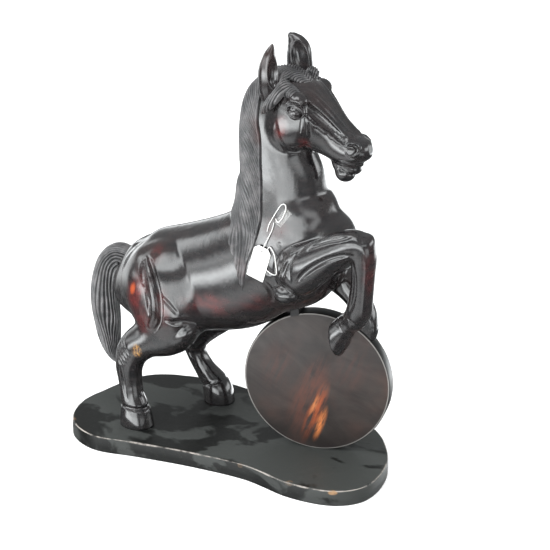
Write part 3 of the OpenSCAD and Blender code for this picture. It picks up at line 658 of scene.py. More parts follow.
def build_horse(wood):
    b = Block((-205, -104, 16), (258, 104, 488), 1.6)
    parts = horse_body(b)
    mesh = b.surface()
    got = {}

    def take(name, score):
        nonlocal mesh
        got[name], mesh = divide(mesh, score(mesh[0]))

    def field(name, p):
        return b.read(parts[name], p)

    def face(p):
        muzzle = np.minimum(p[:, 0] - 130, p[:, 2] - 445)
        return np.where(p[:, 0] < 212, np.maximum(p[:, 2] - HEAD_Z, muzzle), p[:, 2] - 445)

    take("off", face)
    take("neck", lambda p: np.minimum(p[:, 2] - NECK_Z, 183 - p[:, 0]))
    take("right_hind_leg", lambda p: np.minimum(
        past(p, NEAR_HIND_CUT), field("torso", p) - field("near_hind", p)) * (p[:, 1] < 0)
        - (p[:, 1] >= 0))
    take("left_hind_leg", lambda p: np.minimum(
        past(p, FAR_HIND_CUT), field("torso", p) - field("far_hind", p)) * (p[:, 1] > 0)
        - (p[:, 1] <= 0))
    take("right_foreleg", lambda p: np.where(p[:, 1] < 0, np.minimum(
        past(p, NEAR_FORE_CUT), np.minimum(field("torso", p), field("neck", p))
        - field("near_fore", p)), -1))
    take("left_foreleg", lambda p: np.where(p[:, 1] > 0, np.minimum(
        past(p, FAR_FORE_CUT), field("torso", p) - field("far_fore", p)), -1))
    got["torso"] = mesh
    del got["off"]
    c = Block((20, -64, 438), (226, 64, 602), 0.8)
    neck_and_head(c)
    c.blur(2)
    face_details(c)
    top = c.surface()
    x, z = top[0][:, 0], top[0][:, 2]
    got["head"] = divide(top, np.maximum(z - HEAD_Z, np.minimum(x - 130, z - 445)))[0]
    for name, (v, n, t) in got.items():
        piece("wood_" + name, v, t, "statue", wood, [name], n, close=True)
    return b


# ---------------------------------------------------------------- hair and ears
MANE_FRONT = [
    [60, 578], [57, 530], [63, 500], [65, 466], [69, 421], [71, 388], [63, 352], [55, 326],
    [50, 299], [47, 280]]
MANE_BACK = [[47, 280], [40, 298], [31, 325], [18, 345], [8, 372], [-30, 400]]
MANE_PROUD = 4


def outline_distance(x, z, poly):
    """Signed distance on a grid of x and z from a polygon, negative inside."""
    a = np.asarray(poly, float)
    b = np.roll(a, -1, 0)
    x, z = x[:, None], z[None, :]
    best, inside = 1e9, np.zeros((x.size, z.size), bool)
    for p, q in zip(a, b):
        d = q - p
        w = np.clip(((x - p[0]) * d[0] + (z - p[1]) * d[1]) / max(d @ d, 1e-9), 0, 1)
        best = np.minimum(best, (x - p[0] - w * d[0])**2 + (z - p[1] - w * d[1])**2)
        if p[1] != q[1]:
            edge = (q[0] - p[0]) * (z - p[1]) / (q[1] - p[1]) + p[0]
            inside ^= ((p[1] > z) != (q[1] > z)) & (x < edge)
    return np.where(inside, -1, 1) * np.sqrt(best)


def mesh_normals(v, t):
    n = np.zeros_like(v)
    x = v[t]
    f = np.cross(x[:, 1] - x[:, 0], x[:, 2] - x[:, 0])
    for k in range(3):
        for j in range(3):
            n[:, j] += np.bincount(t[:, k], f[:, j], len(v))
    return n / np.maximum(np.linalg.norm(n, axis=1), 1e-9)[:, None]


def furrow(f, sharp=0.75):
    """0 on the crown of a lock of hair and 1 in the cut between two."""
    return 1 - np.abs(np.sin(math.pi * f))**sharp


def shade(ob, cut):
    """Stores how deep each vertex lies in a cut, for the painted shade in the hair's cuts."""
    at = ob.data.attributes.new("groove", "FLOAT", "POINT")
    at.data.foreach_set("value", np.asarray(cut, np.float32))


def build_mane(wood):
    b = Block((-42, -72, 270), (82, 72, 596), 0.85)
    neck, torso = b.skin(loft(NECK)), b.skin(loft(TORSO))
    d = outline_distance(b.ax[0], b.ax[2], np.vstack(
        [spline(MANE_FRONT, 6), spline(MANE_BACK, 6)[1:], [[-32, 602], [56, 602]]]))[:, None, :]
    b.f = smax(smin(neck, torso, 6) - MANE_PROUD, np.broadcast_to(d, neck.shape), 2.5)
    b.f = b.f.astype(np.float32)
    b.blur(1)
    v, n, t = b.surface()
    # locks sweep down and forward from the crest; slope of a lock from the vertical, by height
    zs = np.linspace(260, 600, 341)
    lean = np.interp(zs, [280, 320, 380, 440, 500, 560, 585], [9, 13, 22, 31, 36, 34, 20])
    g = np.cumsum(np.tan(np.radians(lean))[::-1])[::-1]
    front = np.asarray(spline(MANE_FRONT, 6))[::-1]
    back = np.interp(v[:, 2], front[:, 1], front[:, 0]) - v[:, 0]
    fan = back + 3.4 * np.sin(2 * math.pi * back / 58)
    f = (-fan - np.interp(v[:, 2], zs, g) + 1.5 * np.sin(v[:, 2] / 31 + 0.6)
         + 0.7 * np.sin(v[:, 2] / 9 + v[:, 0] / 7)) / 5.0
    shell = ease((back - 1.0) / 2.5) * ease((np.hypot(n[:, 1], 0.6 * (n[:, 0] < 0.2)) - 0.15) / 0.3)
    wild = 0.75 + 0.25 * np.sin(np.floor(f) * 2.4 + 1)
    cut = furrow(f, 0.9) * shell * wild
    v = v - n * (2.9 * cut)[:, None]
    ob = piece("hair_mane", v, t, "statue", wood, ["mane"], mesh_normals(v, t))
    shade(ob, cut)


def tube(rows, k, m, dent):
    """A loft as a plain grid of quads, its rings pushed in by dent(along, angle) millimetres."""
    c, (across, up) = rings(rows, k, m)
    n = len(c)
    r = across + up
    size = np.linalg.norm(r, axis=2)
    a = np.arange(m) * 2 * math.pi / m
    w = np.linspace(0, 1, n)[:, None]
    r = r * (1 - np.minimum(dent(w, a[None]), 0.8 * size) / size)[:, :, None]
    v = (c + r).reshape(-1, 3)
    return v, outward(v, sides(n, m)).tolist() + [list(range(m)), list(range((n - 1) * m, n * m))]


def build_tail(wood):
    def dent(w, a):
        phase = a / (2 * math.pi) * 22 + 0.5 * np.sin(6 * w + 2 * np.cos(a)) \
            + 0.35 * np.sin(15 * w + 3 * a)
        inner = ease((np.cos(a - FRONT_OF_TAIL) - 0.45) / 0.3)
        kept.append(furrow(phase, 0.8) * (1 - 0.85 * inner) * (0.55 + 0.45 * ease(w / 0.08))
                    * (1 - 0.4 * ease((w - 0.85) / 0.15)))
        return 3.0 * kept[0]

    FRONT_OF_TAIL = math.pi * 1.5
    kept = []
    v, f = tube(TAIL, 18, 288, dent)
    shade(piece("hair_tail", v, f, "statue", wood, ["tail"]), kept[0].ravel())


def build_ears(wood):
    for name, rows, box, (c, r, turn) in (
            ("right_ear", NEAR_EAR, ((52, -62, 556), (100, -12, 646)),
             ((90, -45, 606), (11.5, 9.6, 26.4), (0, 8, -30))),
            ("left_ear", FAR_EAR, ((44, 8, 556), (112, 64, 640)),
             ((91, 22.5, 605), (15.4, 10.1, 28.3), (0, -16, -12)))):
        b = Block(*box, 0.7, band=7)
        b.f = b.skin(loft(rows, 12, 72))
        b.cut(b.ball(c, r, turn=turn), 1.6)
        v, n, t = b.surface()
        piece("wood_" + name, v, t, "statue", wood, [name], n)


def build_forelock(wood):
    b = Block((44, -62, 530), (138, 56, 608), 0.8, band=7)
    b.f = b.skin(loft(LOCKS, 12, 72))
    b.twice("ball", (104, -29, 575), (24, 10.8, 9.6), turn=(0, 22, -14), k=4)
    b.add(b.ball((106, 31, 585), (10, 8, 8.5), turn=(0, 30, 0)), 3)
    # the lock that falls in front of the right ear
    b.add(b.chain([(90, -22, 588), (93, -34, 579), (88, -43, 568), (80, -47, 556), (72, -48, 545)],
                  [7, 8.5, 8.5, 7, 3]), 4)
    v, n, t = b.surface()
    f = (v[:, 0] + 0.3 * (600 - v[:, 2]) + 0.35 * np.abs(v[:, 1])
         + 0.8 * np.sin(np.abs(v[:, 1]) / 6)) / 4.0
    cut = furrow(f, 0.9)
    v = v - n * (1.9 * cut)[:, None]
    shade(piece("hair_forelock", v, t, "statue", wood, ["forelock"],
                mesh_normals(v, t)), cut)


# ---------------------------------------------------------------- base and disc
BASE_ROUGH = [
    [-225, -101], [-173, -124], [-105, -112], [-21, -99], [68, -94], [147, -108], [212, -100],
    [247, -68], [250, -15], [229, 41], [176, 99], [95, 122], [10, 112], [-75, 123], [-154, 115],
    [-219, 82], [-248, -1], [-250, -53]]


def stacked(n, m):
    """Faces of n rings of m points, closed at both ends."""
    return sides(n, m).tolist() + [list(range(m))[::-1], list(range((n - 1) * m, n * m))]


def build_base(wood):
    q = spline(BASE_ROUGH, 24, closed=True)
    q = (q - (q.max(0) + q.min(0)) / 2) * np.array([500, 250]) / (q.max(0) - q.min(0))
    along = np.roll(q, -1, 0) - np.roll(q, 1, 0)
    normal = np.stack([along[:, 1], -along[:, 0]], 1) / np.linalg.norm(along, axis=1)[:, None]
    m = len(q)
    s = np.arange(m) / m * 2 * math.pi
    worn = 2.6 + 0.5 * np.sin(7 * s + 1) + 0.35 * np.sin(17 * s + 2) + 0.25 * np.sin(41 * s)
    rng = np.random.default_rng(7)
    for place, depth, width in ((0.115, 1.6, 0.012), (0.25, 1.0, 0.008), (0.83, 0.9, 0.01)):
        worn = worn + depth * np.exp(-((s / (2 * math.pi) - place) / width)**2)
    worn = worn + rng.normal(0, 0.06, m)
    levels = []
    for inset, z in ((0.9, 0), (0.3, 0.3), (0, 1.0), (0, 12)):
        levels.append(np.column_stack([q - normal * inset, np.full(m, float(z))]))
    for a in np.linspace(0, 90, 8):
        a = math.radians(a)
        inset, drop = worn * (1 - math.cos(a)), worn * (1 - math.sin(a))
        levels.append(np.column_stack([q - normal * inset[:, None], BASE_TOP - drop]))
    levels.append(np.column_stack([q - normal * (worn + 1.2)[:, None],
                                   np.full(m, float(BASE_TOP))]))
    v = np.vstack(levels)
    piece("wood_base", v, stacked(len(levels), m), "statue", wood, ["base_board"])


def build_disc(wood):
    m = 256
    prof = [(DISC_R - 1.8, -1), (DISC_R - 1.0, -1 + 0.03), (DISC_R - 0.3, -1 + 0.09),
            (DISC_R, -1 + 0.17), (DISC_R, 0)]
    prof = prof + [(r, -w) for r, w in prof[-2::-1]]
    a = np.arange(m) / m * 2 * math.pi
    v = []
    for r, w in prof:
        v.append(DISC_C + DISC_X * (r * np.cos(a))[:, None]
                 + np.array([0, 0, 1]) * (r * np.sin(a))[:, None] + DISC_N * (w * DISC_T / 2))
    v = np.vstack(v)
    v[:, 2] = np.maximum(v[:, 2], BASE_TOP - 0.5)
    f = stacked(len(prof), m)
    x = v[f[0]] - DISC_C
    if np.dot(x[0], np.cross(x[1] - x[0], x[2] - x[0])) < 0:
        f = [c[::-1] for c in f]
    piece("wood_disc", v, f, "statue", wood, ["disc"])


# ---------------------------------------------------------------- ticket, tape and string
END_ROUTE = [
    [82.8, -55.4, 374.7], [85.1, -54.5, 384.6], [90.1, -52.9, 395.4], [96.1, -50.5, 407],
    [101, -48.7, 415.1], [106.2, -47.4, 417.1], [108.9, -48.8, 411.2], [107, -51.3, 403.4],
    [104, -52.8, 396], [98.9, -53.8, 391.2], [95.5, -53.9, 396.1]]
DROP_ROUTE = [
    [93.1, -54.1, 389.5], [91.1, -55.9, 379.3], [87.5, -57.6, 369.9], [83.6, -59.4, 360.9],
    [80.9, -61.2, 353.6], [78.9, -61.9, 348.4], [77.9, -60.4, 344.4], [78.6, -59, 340.6],
    [82.4, -58.9, 338.6], [85, -58.9, 342.6], [85.5, -58.9, 349.4], [89.2, -59.3, 354],
    [93.6, -60, 350.3], [98.2, -61.6, 343.6], [101.4, -65.2, 337.4], [103.4, -67, 331],
    [105.6, -68.8, 325.4], [103.6, -67, 319], [98.2, -63.6, 315.8], [92, -61.2, 315.6],
    [87, -60.6, 317.6], [82.5, -60.3, 321]]
STRING_D = 1.2
TAPE_W, TAPE_L, TAPE_TURN = 12, 26, 34
TAPE_X, TAPE_Z, TAPE_LIFT = 105.5, 398, 1.0


def string(name, route, body, node, white):
    p = spline(route, 6) * MM
    cu = bpy.data.curves.new(name, "CURVE")
    cu.dimensions = "3D"
    cu.bevel_depth = STRING_D / 2 * MM
    cu.bevel_resolution = 3
    cu.use_fill_caps = True
    sp = cu.splines.new("POLY")
    sp.points.add(len(p) - 1)
    for i, q in enumerate(p):
        sp.points[i].co = (*q, 1)
    cu.materials.append(white)
    ob = mounted(put(name, cu), body, [node])
    length = float(np.linalg.norm(np.diff(p, axis=0), axis=1).sum())
    return ob, p[0], length


def recolour(node, material):
    for slot in frame["nodes"][node].material_slots:
        slot.material = material


def build_ticket(b, white, clear, paper):
    # the tape follows the neck: each of its points is slid along Y to the wood
    c, s = math.cos(math.radians(TAPE_TURN)), math.sin(math.radians(TAPE_TURN))
    nu, nv = int(TAPE_W) + 1, int(TAPE_L) + 1
    pts = []
    for j in range(nv):
        for i in range(nu):
            u, w = -TAPE_W / 2 + TAPE_W * i / (nu - 1), -TAPE_L / 2 + TAPE_L * j / (nv - 1)
            pts.append([TAPE_X + u * c + w * s, -80.0, TAPE_Z - u * s + w * c])
    p = np.array(pts)
    for _ in range(60):
        p[:, 1] += np.clip(b.read(b.f, p) - TAPE_LIFT, -2, 2)
    f = [(j * nu + i, j * nu + i + 1, (j + 1) * nu + i + 1, (j + 1) * nu + i)
         for j in range(nv - 1) for i in range(nu - 1)]
    tape = piece("tape_strip", p, f, "statue", clear, ["tape_patch"])
    thick = tape.modifiers.new("thick", "SOLIDIFY")
    thick.thickness = 0.00012
    thick.offset = 1
    end, start, length = string("string_tail", END_ROUTE, "statue", "string_end", white)
    drop, start, length2 = string("string_drop", DROP_ROUTE, "ticket", "tag_string", white)
    recolour("tag_card", paper)


# ---------------------------------------------------------------- materials
class Nodes:
    """Helpers for one node tree."""

    def __init__(self, tree):
        self.t = tree

    def link(self, a, b):
        self.t.links.new(a, b)

    def node(self, kind, links=(), **values):
        n = self.t.nodes.new(kind)
        for k, w in values.items():
            if hasattr(n, k):
                setattr(n, k, w)
            else:
                n.inputs[k.replace("_", " ")].default_value = w
        for name, source in dict(links).items():
            self.link(source, n.inputs[name])
        return n

    def ramp(self, value, a, b, low=0.0, high=1.0):
        return self.node("ShaderNodeMapRange", {"Value": value}, interpolation_type="SMOOTHSTEP",
                         From_Min=a, From_Max=b, To_Min=low, To_Max=high).outputs[0]

    def sums(self, op, a, b):
        n = self.node("ShaderNodeMath", operation=op)
        for i, w in enumerate((a, b)):
            if isinstance(w, (int, float)):
                n.inputs[i].default_value = w
            else:
                self.link(w, n.inputs[i])
        return n.outputs[0]

    def times(self, a, b):
        return self.sums("MULTIPLY", a, b)


class Paint(Nodes):
    """A material with a Principled shader."""

    def __init__(self, name, **values):
        self.m = bpy.data.materials.new(name)
        self.m.use_nodes = True
        super().__init__(self.m.node_tree)
        self.s = self.t.nodes["Principled BSDF"]
        self.where = self.t.nodes.new("ShaderNodeTexCoord").outputs["Object"]
        for k, w in values.items():
            self.s.inputs[k.replace("_", " ")].default_value = w

    def mapped(self, at=(0, 0, 0), turn=(0, 0, 0), size=(1, 1, 1)):
        """Coordinates about a point, in metres turned and divided by size."""
        turn = [math.radians(a) for a in turn]
        return self.node("ShaderNodeMapping", {"Vector": self.where}, vector_type="TEXTURE",
                         Location=at, Rotation=turn, Scale=size).outputs[0]

    def noise(self, scale, detail=3, rough=0.5, vector=None, distort=0.0):
        return self.node("ShaderNodeTexNoise", {"Vector": vector or self.where}, Scale=scale,
                         Detail=detail, Roughness=rough, Distortion=distort).outputs["Fac"]

    def mix(self, fac, a, b):
        n = self.node("ShaderNodeMix", data_type="RGBA")
        for i, w in ((0, fac), (6, a), (7, b)):
            if isinstance(w, (int, float)):
                n.inputs[i].default_value = w
            elif isinstance(w, tuple):
                n.inputs[i].default_value = (*w, 1) if len(w) == 3 else w
            else:
                self.link(w, n.inputs[i])
        return n.outputs[2]

    def spot(self, at, size, turn=(0, 0, 0), soft=1.0, rough=0.0):
        """1 at a point given in millimetres and 0 at the edge of an ellipsoid round it."""
        v = self.mapped([c * MM for c in at], turn, [c * MM for c in size])
        n = self.node("ShaderNodeTexGradient", {"Vector": v}, gradient_type="SPHERICAL")
        out = self.ramp(n.outputs["Fac"], 0, soft)
        if rough:
            patches = self.ramp(self.noise(60, 4, 0.6), 0.5 - rough, 0.5 + rough)
            out = self.times(out, patches)
        return out

    def bump(self, height, distance, strength=1.0, into=("Normal",)):
        n = self.node("ShaderNodeBump", {"Height": height}, Strength=strength, Distance=distance)
        for name in into:
            self.link(n.outputs[0], self.s.inputs[name])


def lacquer(name, rough=0.22, coat=1.0):
    return Paint(name, Roughness=rough, Coat_Weight=coat, Coat_Roughness=0.07, Coat_IOR=1.62,
                 Specular_IOR_Level=0.55, IOR=1.5)


def horse_paint():
    p = lacquer("lacquered_dark_wood")
    grain = p.noise(55, 5, 0.62, p.mapped(size=(1.0, 1.0, 0.25)))
    col = p.mix(p.ramp(grain, 0.3, 0.75), (0.0075, 0.0075, 0.0085), (0.020, 0.016, 0.016))
    broad = p.ramp(p.noise(9, 3, 0.5), 0.5, 0.75)
    col = p.mix(p.times(broad, 0.5), col, (0.030, 0.012, 0.010))
    red, deep, orange = (0.17, 0.018, 0.016), (0.075, 0.012, 0.012), (0.42, 0.075, 0.022)
    for at, size, turn, colour, much, rough in (
            # buttock and thigh
            ((-118, -78, 240), (34, 60, 60), (0, 12, 0), deep, 0.9, 0.25),
            ((-122, -78, 246), (17, 50, 34), (0, 14, 0), red, 0.95, 0.3),
            ((-126, -80, 252), (7, 40, 14), (0, 20, 0), orange, 0.9, 0.0),
            ((-74, -80, 236), (14, 40, 42), (0, -8, 0), deep, 0.9, 0.2),
            ((-108, -82, 205), (22, 50, 30), (0, 0, 0), deep, 0.9, 0.2),
            ((-118, 80, 240), (34, 60, 60), (0, 12, 0), deep, 0.9, 0.25),
            ((-122, 80, 236), (16, 50, 30), (0, 14, 0), red, 0.8, 0.3),
            # belly and flank
            ((-8, -66, 246), (58, 60, 26), (0, -6, 0), deep, 0.95, 0.2),
            ((-6, -66, 250), (34, 50, 14), (0, -10, 0), red, 0.55, 0.3),
            ((62, -62, 262), (40, 50, 20), (0, -20, 0), deep, 0.7, 0.25),
            ((10, 66, 246), (58, 60, 26), (0, -6, 0), deep, 0.85, 0.25),
            # jowl and cheek
            ((98, -45, 525), (15, 24, 26), (0, 14, 0), red, 0.6, 0.25),
            ((128, -38, 503), (12, 24, 16), (0, 0, 0), red, 0.4, 0.2),
            ((98, 45, 525), (15, 24, 26), (0, 14, 0), deep, 0.9, 0.25),
            # raised arm and shin, croup
            ((243, -44, 345), (14, 40, 60), (0, 0, 0), deep, 0.7, 0.2),
            ((-97, -54, 300), (16, 30, 22), (0, 0, 0), deep, 0.7, 0.2),
            ((96, -66, 380), (34, 40, 26), (0, 0, 0), deep, 0.5, 0.25)):
        col = p.mix(p.times(p.spot(at, size, turn, 0.8, rough), much), col, colour)
    amber = p.spot((-121, -82, 155), (10, 30, 14), (0, 8, 0), 0.6)
    flecks = p.ramp(p.noise(420, 4, 0.7, p.mapped(size=(1, 1, 2.2))), 0.38, 0.66)
    col = p.mix(amber, col, p.mix(flecks, (0.05, 0.02, 0.008), (0.36, 0.19, 0.05)))
    p.link(col, p.s.inputs["Base Color"])
    p.link(p.ramp(p.noise(30, 4, 0.6), 0.3, 0.8, 0.16, 0.34), p.s.inputs["Roughness"])
    wave = p.noise(70, 2, 0.5, p.mapped(size=(0.7, 1.0, 1.6)))
    fine = p.noise(900, 3, 0.6, p.mapped(size=(1, 1, 0.4)))
    both = p.sums("ADD", wave, p.times(fine, 0.03))
    p.bump(both, 0.0006, 0.55, ("Normal", "Coat Normal"))
    return p.m


def hair_paint():
    p = lacquer("lacquered_carved_hair", 0.36, 0.6)
    p.s.inputs["Coat Roughness"].default_value = 0.18
    groove = p.node("ShaderNodeAttribute", attribute_name="groove").outputs["Fac"]
    worn = p.ramp(p.noise(46, 5, 0.65), 0.36, 0.72)
    col = p.mix(worn, (0.030, 0.030, 0.032), (0.125, 0.120, 0.122))
    col = p.mix(p.ramp(p.noise(11, 3, 0.5), 0.56, 0.74, 0, 0.5), col, (0.07, 0.022, 0.018))
    # painted shade: the hair goes near black deep in the cuts between locks, by the stored groove
    # depth
    col = p.mix(p.ramp(groove, 0.25, 0.8), col, (0.0025, 0.0025, 0.003))
    p.link(col, p.s.inputs["Base Color"])
    p.link(p.ramp(p.noise(60, 4, 0.6), 0.3, 0.8, 0.28, 0.48), p.s.inputs["Roughness"])
    p.bump(p.noise(700, 4, 0.65), 0.0004, 0.5, ("Normal", "Coat Normal"))
    return p.m


def disc_paint():
    p = Paint("satin_disc_wood", Roughness=0.40, Specular_IOR_Level=0.25)
    turn = (0, 0, DISC_YAW)
    centre = [c * MM for c in DISC_C]
    local = p.mapped(centre, turn, (1, 1, 1))
    grain = p.noise(26, 5, 0.6, p.mapped(centre, (0, 24, DISC_YAW), (2.6, 1, 1)), 0.6)
    col = p.mix(p.ramp(grain, 0.3, 0.72), (0.028, 0.024, 0.023), (0.050, 0.042, 0.039))
    broad = p.noise(13, 3, 0.5, local)
    col = p.mix(p.ramp(broad, 0.48, 0.72, 0, 0.6), col, (0.075, 0.044, 0.037))
    ex, ez = DISC_X, np.array([0, 0, 1])

    def at(a, c):
        return tuple(DISC_C + ex * a + ez * c - DISC_N * DISC_T / 2)

    along = p.mapped(centre, (0, 22, DISC_YAW), (0.45, 1, 2.6))
    streaks = p.ramp(p.noise(60, 4, 0.65, along), 0.32, 0.62)
    for place, size, lean, colour, much in (
            ((-12, -22), (30, 30, 88), 20, (0.115, 0.046, 0.034), 0.8),
            ((-2, -48), (14, 30, 62), 20, (0.36, 0.090, 0.035), 0.95),
            ((6, -66), (8, 30, 36), 18, (0.80, 0.26, 0.08), 1.0),
            ((-3, -38), (5, 30, 26), 22, (0.62, 0.24, 0.09), 0.8),
            ((52, 26), (30, 30, 50), 30, (0.075, 0.036, 0.031), 0.6),
            ((-58, 18), (34, 30, 54), 10, (0.072, 0.036, 0.031), 0.6)):
        s = p.spot(at(*place), size, (0, lean, DISC_YAW), 0.9)
        col = p.mix(p.times(p.times(s, streaks), much), col, colour)
    # a thin pale grey line round the edge of the face, a painted highlight on the arris, and past
    # it a dark rim: by distance from the axis of the disc
    xyz = p.node("ShaderNodeSeparateXYZ", {"Vector": local})
    r = p.sums("SQRT", p.sums("ADD", p.sums("POWER", xyz.outputs[0], 2),
                              p.sums("POWER", xyz.outputs[2], 2)), 0)
    col = p.mix(p.ramp(r, 0.1048, 0.1054), col, (0.22, 0.21, 0.20))
    col = p.mix(p.ramp(r, 0.1064, 0.1070), col, (0.008, 0.008, 0.008))
    p.link(col, p.s.inputs["Base Color"])
    p.link(p.ramp(p.noise(40, 4, 0.6), 0.3, 0.8, 0.30, 0.46), p.s.inputs["Roughness"])
    p.bump(p.noise(60, 5, 0.6, p.mapped(centre, (0, 24, DISC_YAW), (0.4, 1, 2.5))), 0.0003, 0.5)
    return p.m


def base_paint():
    p = Paint("satin_base_wood", Roughness=0.45, Coat_Weight=0.12, Coat_Roughness=0.3,
              Coat_IOR=1.5, Specular_IOR_Level=0.3)
    # blotches of dark and paler green-grey over the top: partly the board's own dapple, partly a
    # painted reflection of trees
    trees_reflected_and_dapple = p.noise(17, 4, 0.55, p.mapped(size=(1.5, 1, 1)), 0.4)
    col = p.mix(p.ramp(trees_reflected_and_dapple, 0.47, 0.53), (0.006, 0.0065, 0.006), (0.040, 0.043, 0.041))
    fine = p.ramp(p.noise(300, 4, 0.7), 0.55, 0.75, 0, 0.35)
    col = p.mix(fine, col, (0.06, 0.055, 0.05))
    # paler in patches along the rounded arris, a painted highlight line; and a few nicks
    geo = p.node("ShaderNodeNewGeometry")
    up = p.node("ShaderNodeSeparateXYZ", {"Vector": geo.outputs["Normal"]}).outputs[2]
    edge = p.times(p.ramp(up, 0.25, 0.6), p.ramp(up, 0.98, 0.8))
    patchy = p.ramp(p.noise(45, 4, 0.65), 0.36, 0.62)
    col = p.mix(p.times(edge, p.times(patchy, 0.9)), col, (0.36, 0.33, 0.30))
    for at, size in (((148, -107, 22), (7, 8, 5)), ((-228, -96, 21), (9, 9, 5)),
                     ((60, -94, 21), (5, 6, 4)), ((214, -99, 21), (8, 8, 4))):
        col = p.mix(p.spot(at, size, soft=0.4, rough=0.2), col, (0.34, 0.20, 0.10))
    p.link(col, p.s.inputs["Base Color"])
    p.link(p.ramp(trees_reflected_and_dapple, 0.42, 0.58, 0.34, 0.52), p.s.inputs["Roughness"])
    p.bump(p.sums("ADD", p.noise(40, 4, 0.6), p.times(p.noise(600, 3, 0.6), 0.1)),
           0.0005, 0.5)
    return p.m


def plain(name, colour, rough, **values):
    p = Paint(name, Roughness=rough, **values)
    p.s.inputs["Base Color"].default_value = (*colour, 1)
    return p


def clear_tape():
    p = plain("clear_tape", (0.9, 0.9, 0.88), 0.4, Alpha=0.10)
    p.m.blend_method = "BLEND"
    return p.m


# ---------------------------------------------------------------- the scene
def backdrop():
    """A pale dome far behind everything, which only the camera sees."""
    bm = bmesh.new()
    bmesh.ops.create_icosphere(bm, subdivisions=4, radius=14)
    me = bpy.data.meshes.new("backdrop")
    bm.to_mesh(me)
    bm.free()
    p = plain("white_backdrop", (0, 0, 0), 1.0, Specular_IOR_Level=0.0, Emission_Strength=0.97)
    p.s.inputs["Emission Color"].default_value = (1, 1, 1, 1)
    me.materials.append(p.m)
    ob = put("backdrop", me)
    ob.visible_diffuse = ob.visible_glossy = ob.visible_shadow = ob.visible_transmission = False
    return ob


# softboxes and windows that the lacquer mirrors: azimuth and half width in degrees,
# lowest and highest sine of the elevation, softness of the edge, brightness
WINDOWS = (
    (260, 32, -0.33, -0.14, 0.10, 4.8), (239, 12, -0.36, -0.16, 0.10, 1.8),
    (234, 32, -0.06, 0.10, 0.10, 2.2), (274, 14, -0.12, 0.14, 0.08, 3.0),
    (218, 30, 0.38, 0.62, 0.09, 3.0), (262, 20, 0.58, 0.86, 0.09, 3.6),
    (310, 14, 0.15, 0.40, 0.10, 1.5), (243, 30, -0.80, -0.50, 0.12, 0.9),
    (128, 20, -0.10, 0.10, 0.08, 1.2), (160, 16, -0.35, 0.20, 0.12, 1.2),
    (30, 18, 0.05, 0.30, 0.06, 3.0), (75, 24, -0.42, -0.12, 0.10, 4.0),
    (330, 12, -0.40, -0.10, 0.10, 1.4))

WINDOW_BLUR = 12      # degrees over which the side edges of a window fade out


def world():
    w = bpy.data.worlds.new("studio")
    bpy.context.scene.world = w
    w.use_nodes = True
    n = Nodes(w.node_tree)
    bg = n.t.nodes["Background"]
    bg.inputs["Color"].default_value = (0.96, 0.99, 1.0, 1)
    way = n.node("ShaderNodeTexCoord").outputs["Generated"]
    z = n.node("ShaderNodeSeparateXYZ", {0: way}).outputs[2]
    flat = n.node("ShaderNodeVectorMath", {0: way}, operation="MULTIPLY")
    flat.inputs[1].default_value = (1, 1, 0)
    level = n.node("ShaderNodeVectorMath", {0: flat.outputs[0]}, operation="NORMALIZE")
    total = n.ramp(z, -0.5, 0.9, 0.12, 0.36)
    for azimuth, half, low, high, soft, gain in WINDOWS:
        dot = n.node("ShaderNodeVectorMath", {0: level.outputs[0]}, operation="DOT_PRODUCT")
        a = math.radians(azimuth)
        dot.inputs[1].default_value = (math.cos(a), math.sin(a), 0)
        dark, lit = (math.cos(math.radians(half + w)) for w in (WINDOW_BLUR, -WINDOW_BLUR / 2))
        across = n.ramp(dot.outputs["Value"], dark, lit, 0, gain)
        tall = n.times(n.ramp(z, low - soft, low + soft), n.ramp(z, high + soft, high - soft))
        total = n.sums("ADD", total, n.times(across, tall))
    n.link(total, bg.inputs["Strength"])


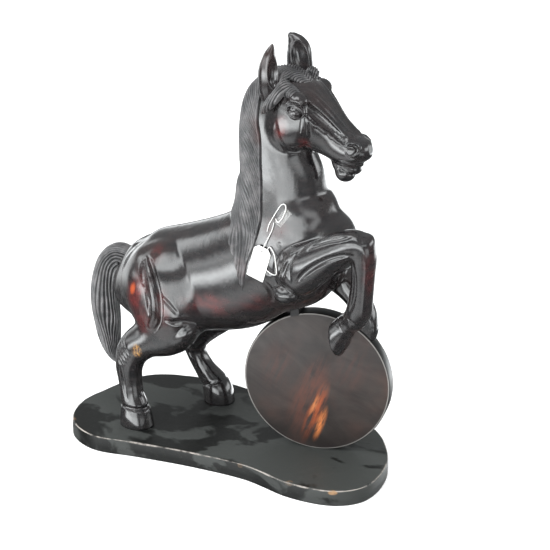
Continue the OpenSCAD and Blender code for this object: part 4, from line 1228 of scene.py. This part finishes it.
def stage_and_light():
    me = bpy.data.meshes.new("floor")
    s = 12
    me.from_pydata([(-s, -s, 0), (s, -s, 0), (s, s, 0), (-s, s, 0)], [], [(0, 1, 2, 3)])
    floor = put("floor", me)
    white = plain("white_floor", (0.86, 0.86, 0.86), 0.9, Specular_IOR_Level=0.0,
                  Emission_Strength=0.20)
    white.s.inputs["Emission Color"].default_value = (1, 1, 1, 1)
    me.materials.append(white.m)
    floor.visible_glossy = False
    back = backdrop()
    world()
    for name, at, size, watts in (("key", (-1.6, -2.2, 2.0), (1.6, 1.4), 62),
                                  ("top", (0.2, -0.4, 2.8), (2.0, 1.6), 56),
                                  ("fill", (2.2, -1.6, 1.8), (1.4, 1.2), 30),
                                  ("back", (-0.6, 2.6, 1.8), (1.8, 1.2), 40)):
        la = bpy.data.lights.new(name, "AREA")
        la.shape, la.size, la.size_y, la.energy = "RECTANGLE", *size, watts
        ob = put(name, la)
        ob.location = at
        ob.rotation_euler = (Vector((0, 0, 0.3)) - Vector(at)).to_track_quat("-Z", "Y").to_euler()
        ob.visible_glossy = False
    cam = bpy.data.cameras.new("camera")
    cam.lens, cam.sensor_width = 158, 36
    cam.clip_end = 60
    ob = put("camera", cam)
    ob.location = (1.6336, -2.7196, 1.6497)
    ob.rotation_euler = (math.radians(66.5), 0, math.radians(30))
    bpy.context.scene.camera = ob
    bpy.context.scene.view_settings.view_transform = "Standard"


def main():
    stage_and_light()
    wood, hair = horse_paint(), hair_paint()
    body = build_horse(wood)
    build_mane(hair)
    build_tail(hair)
    build_ears(wood)
    build_forelock(hair)
    build_base(base_paint())
    build_disc(disc_paint())
    build_ticket(body, plain("white_string", (0.86, 0.86, 0.84), 0.7).m, clear_tape(),
                 plain("white_card", (0.9, 0.9, 0.88), 0.6).m)
    pale = plain("dowel_wood_pale", (0.55, 0.38, 0.2), 0.6).m
    steel = plain("screw_steel", (0.6, 0.6, 0.62), 0.3, Metallic=1.0).m
    peg = plain("peg_wood_dark", (0.008, 0.007, 0.007), 0.5).m
    for node, m in (("chest_peg", peg), ("neck_dowels", pale), ("head_dowel", pale),
                    ("ear_dowels", pale), ("tail_dowel", pale), ("foreleg_dowels", pale),
                    ("hind_leg_dowels", pale), ("hoof_pin", pale), ("disc_screws", steel),
                    ("hind_leg_screws", steel)):
        recolour(node, m)


main()
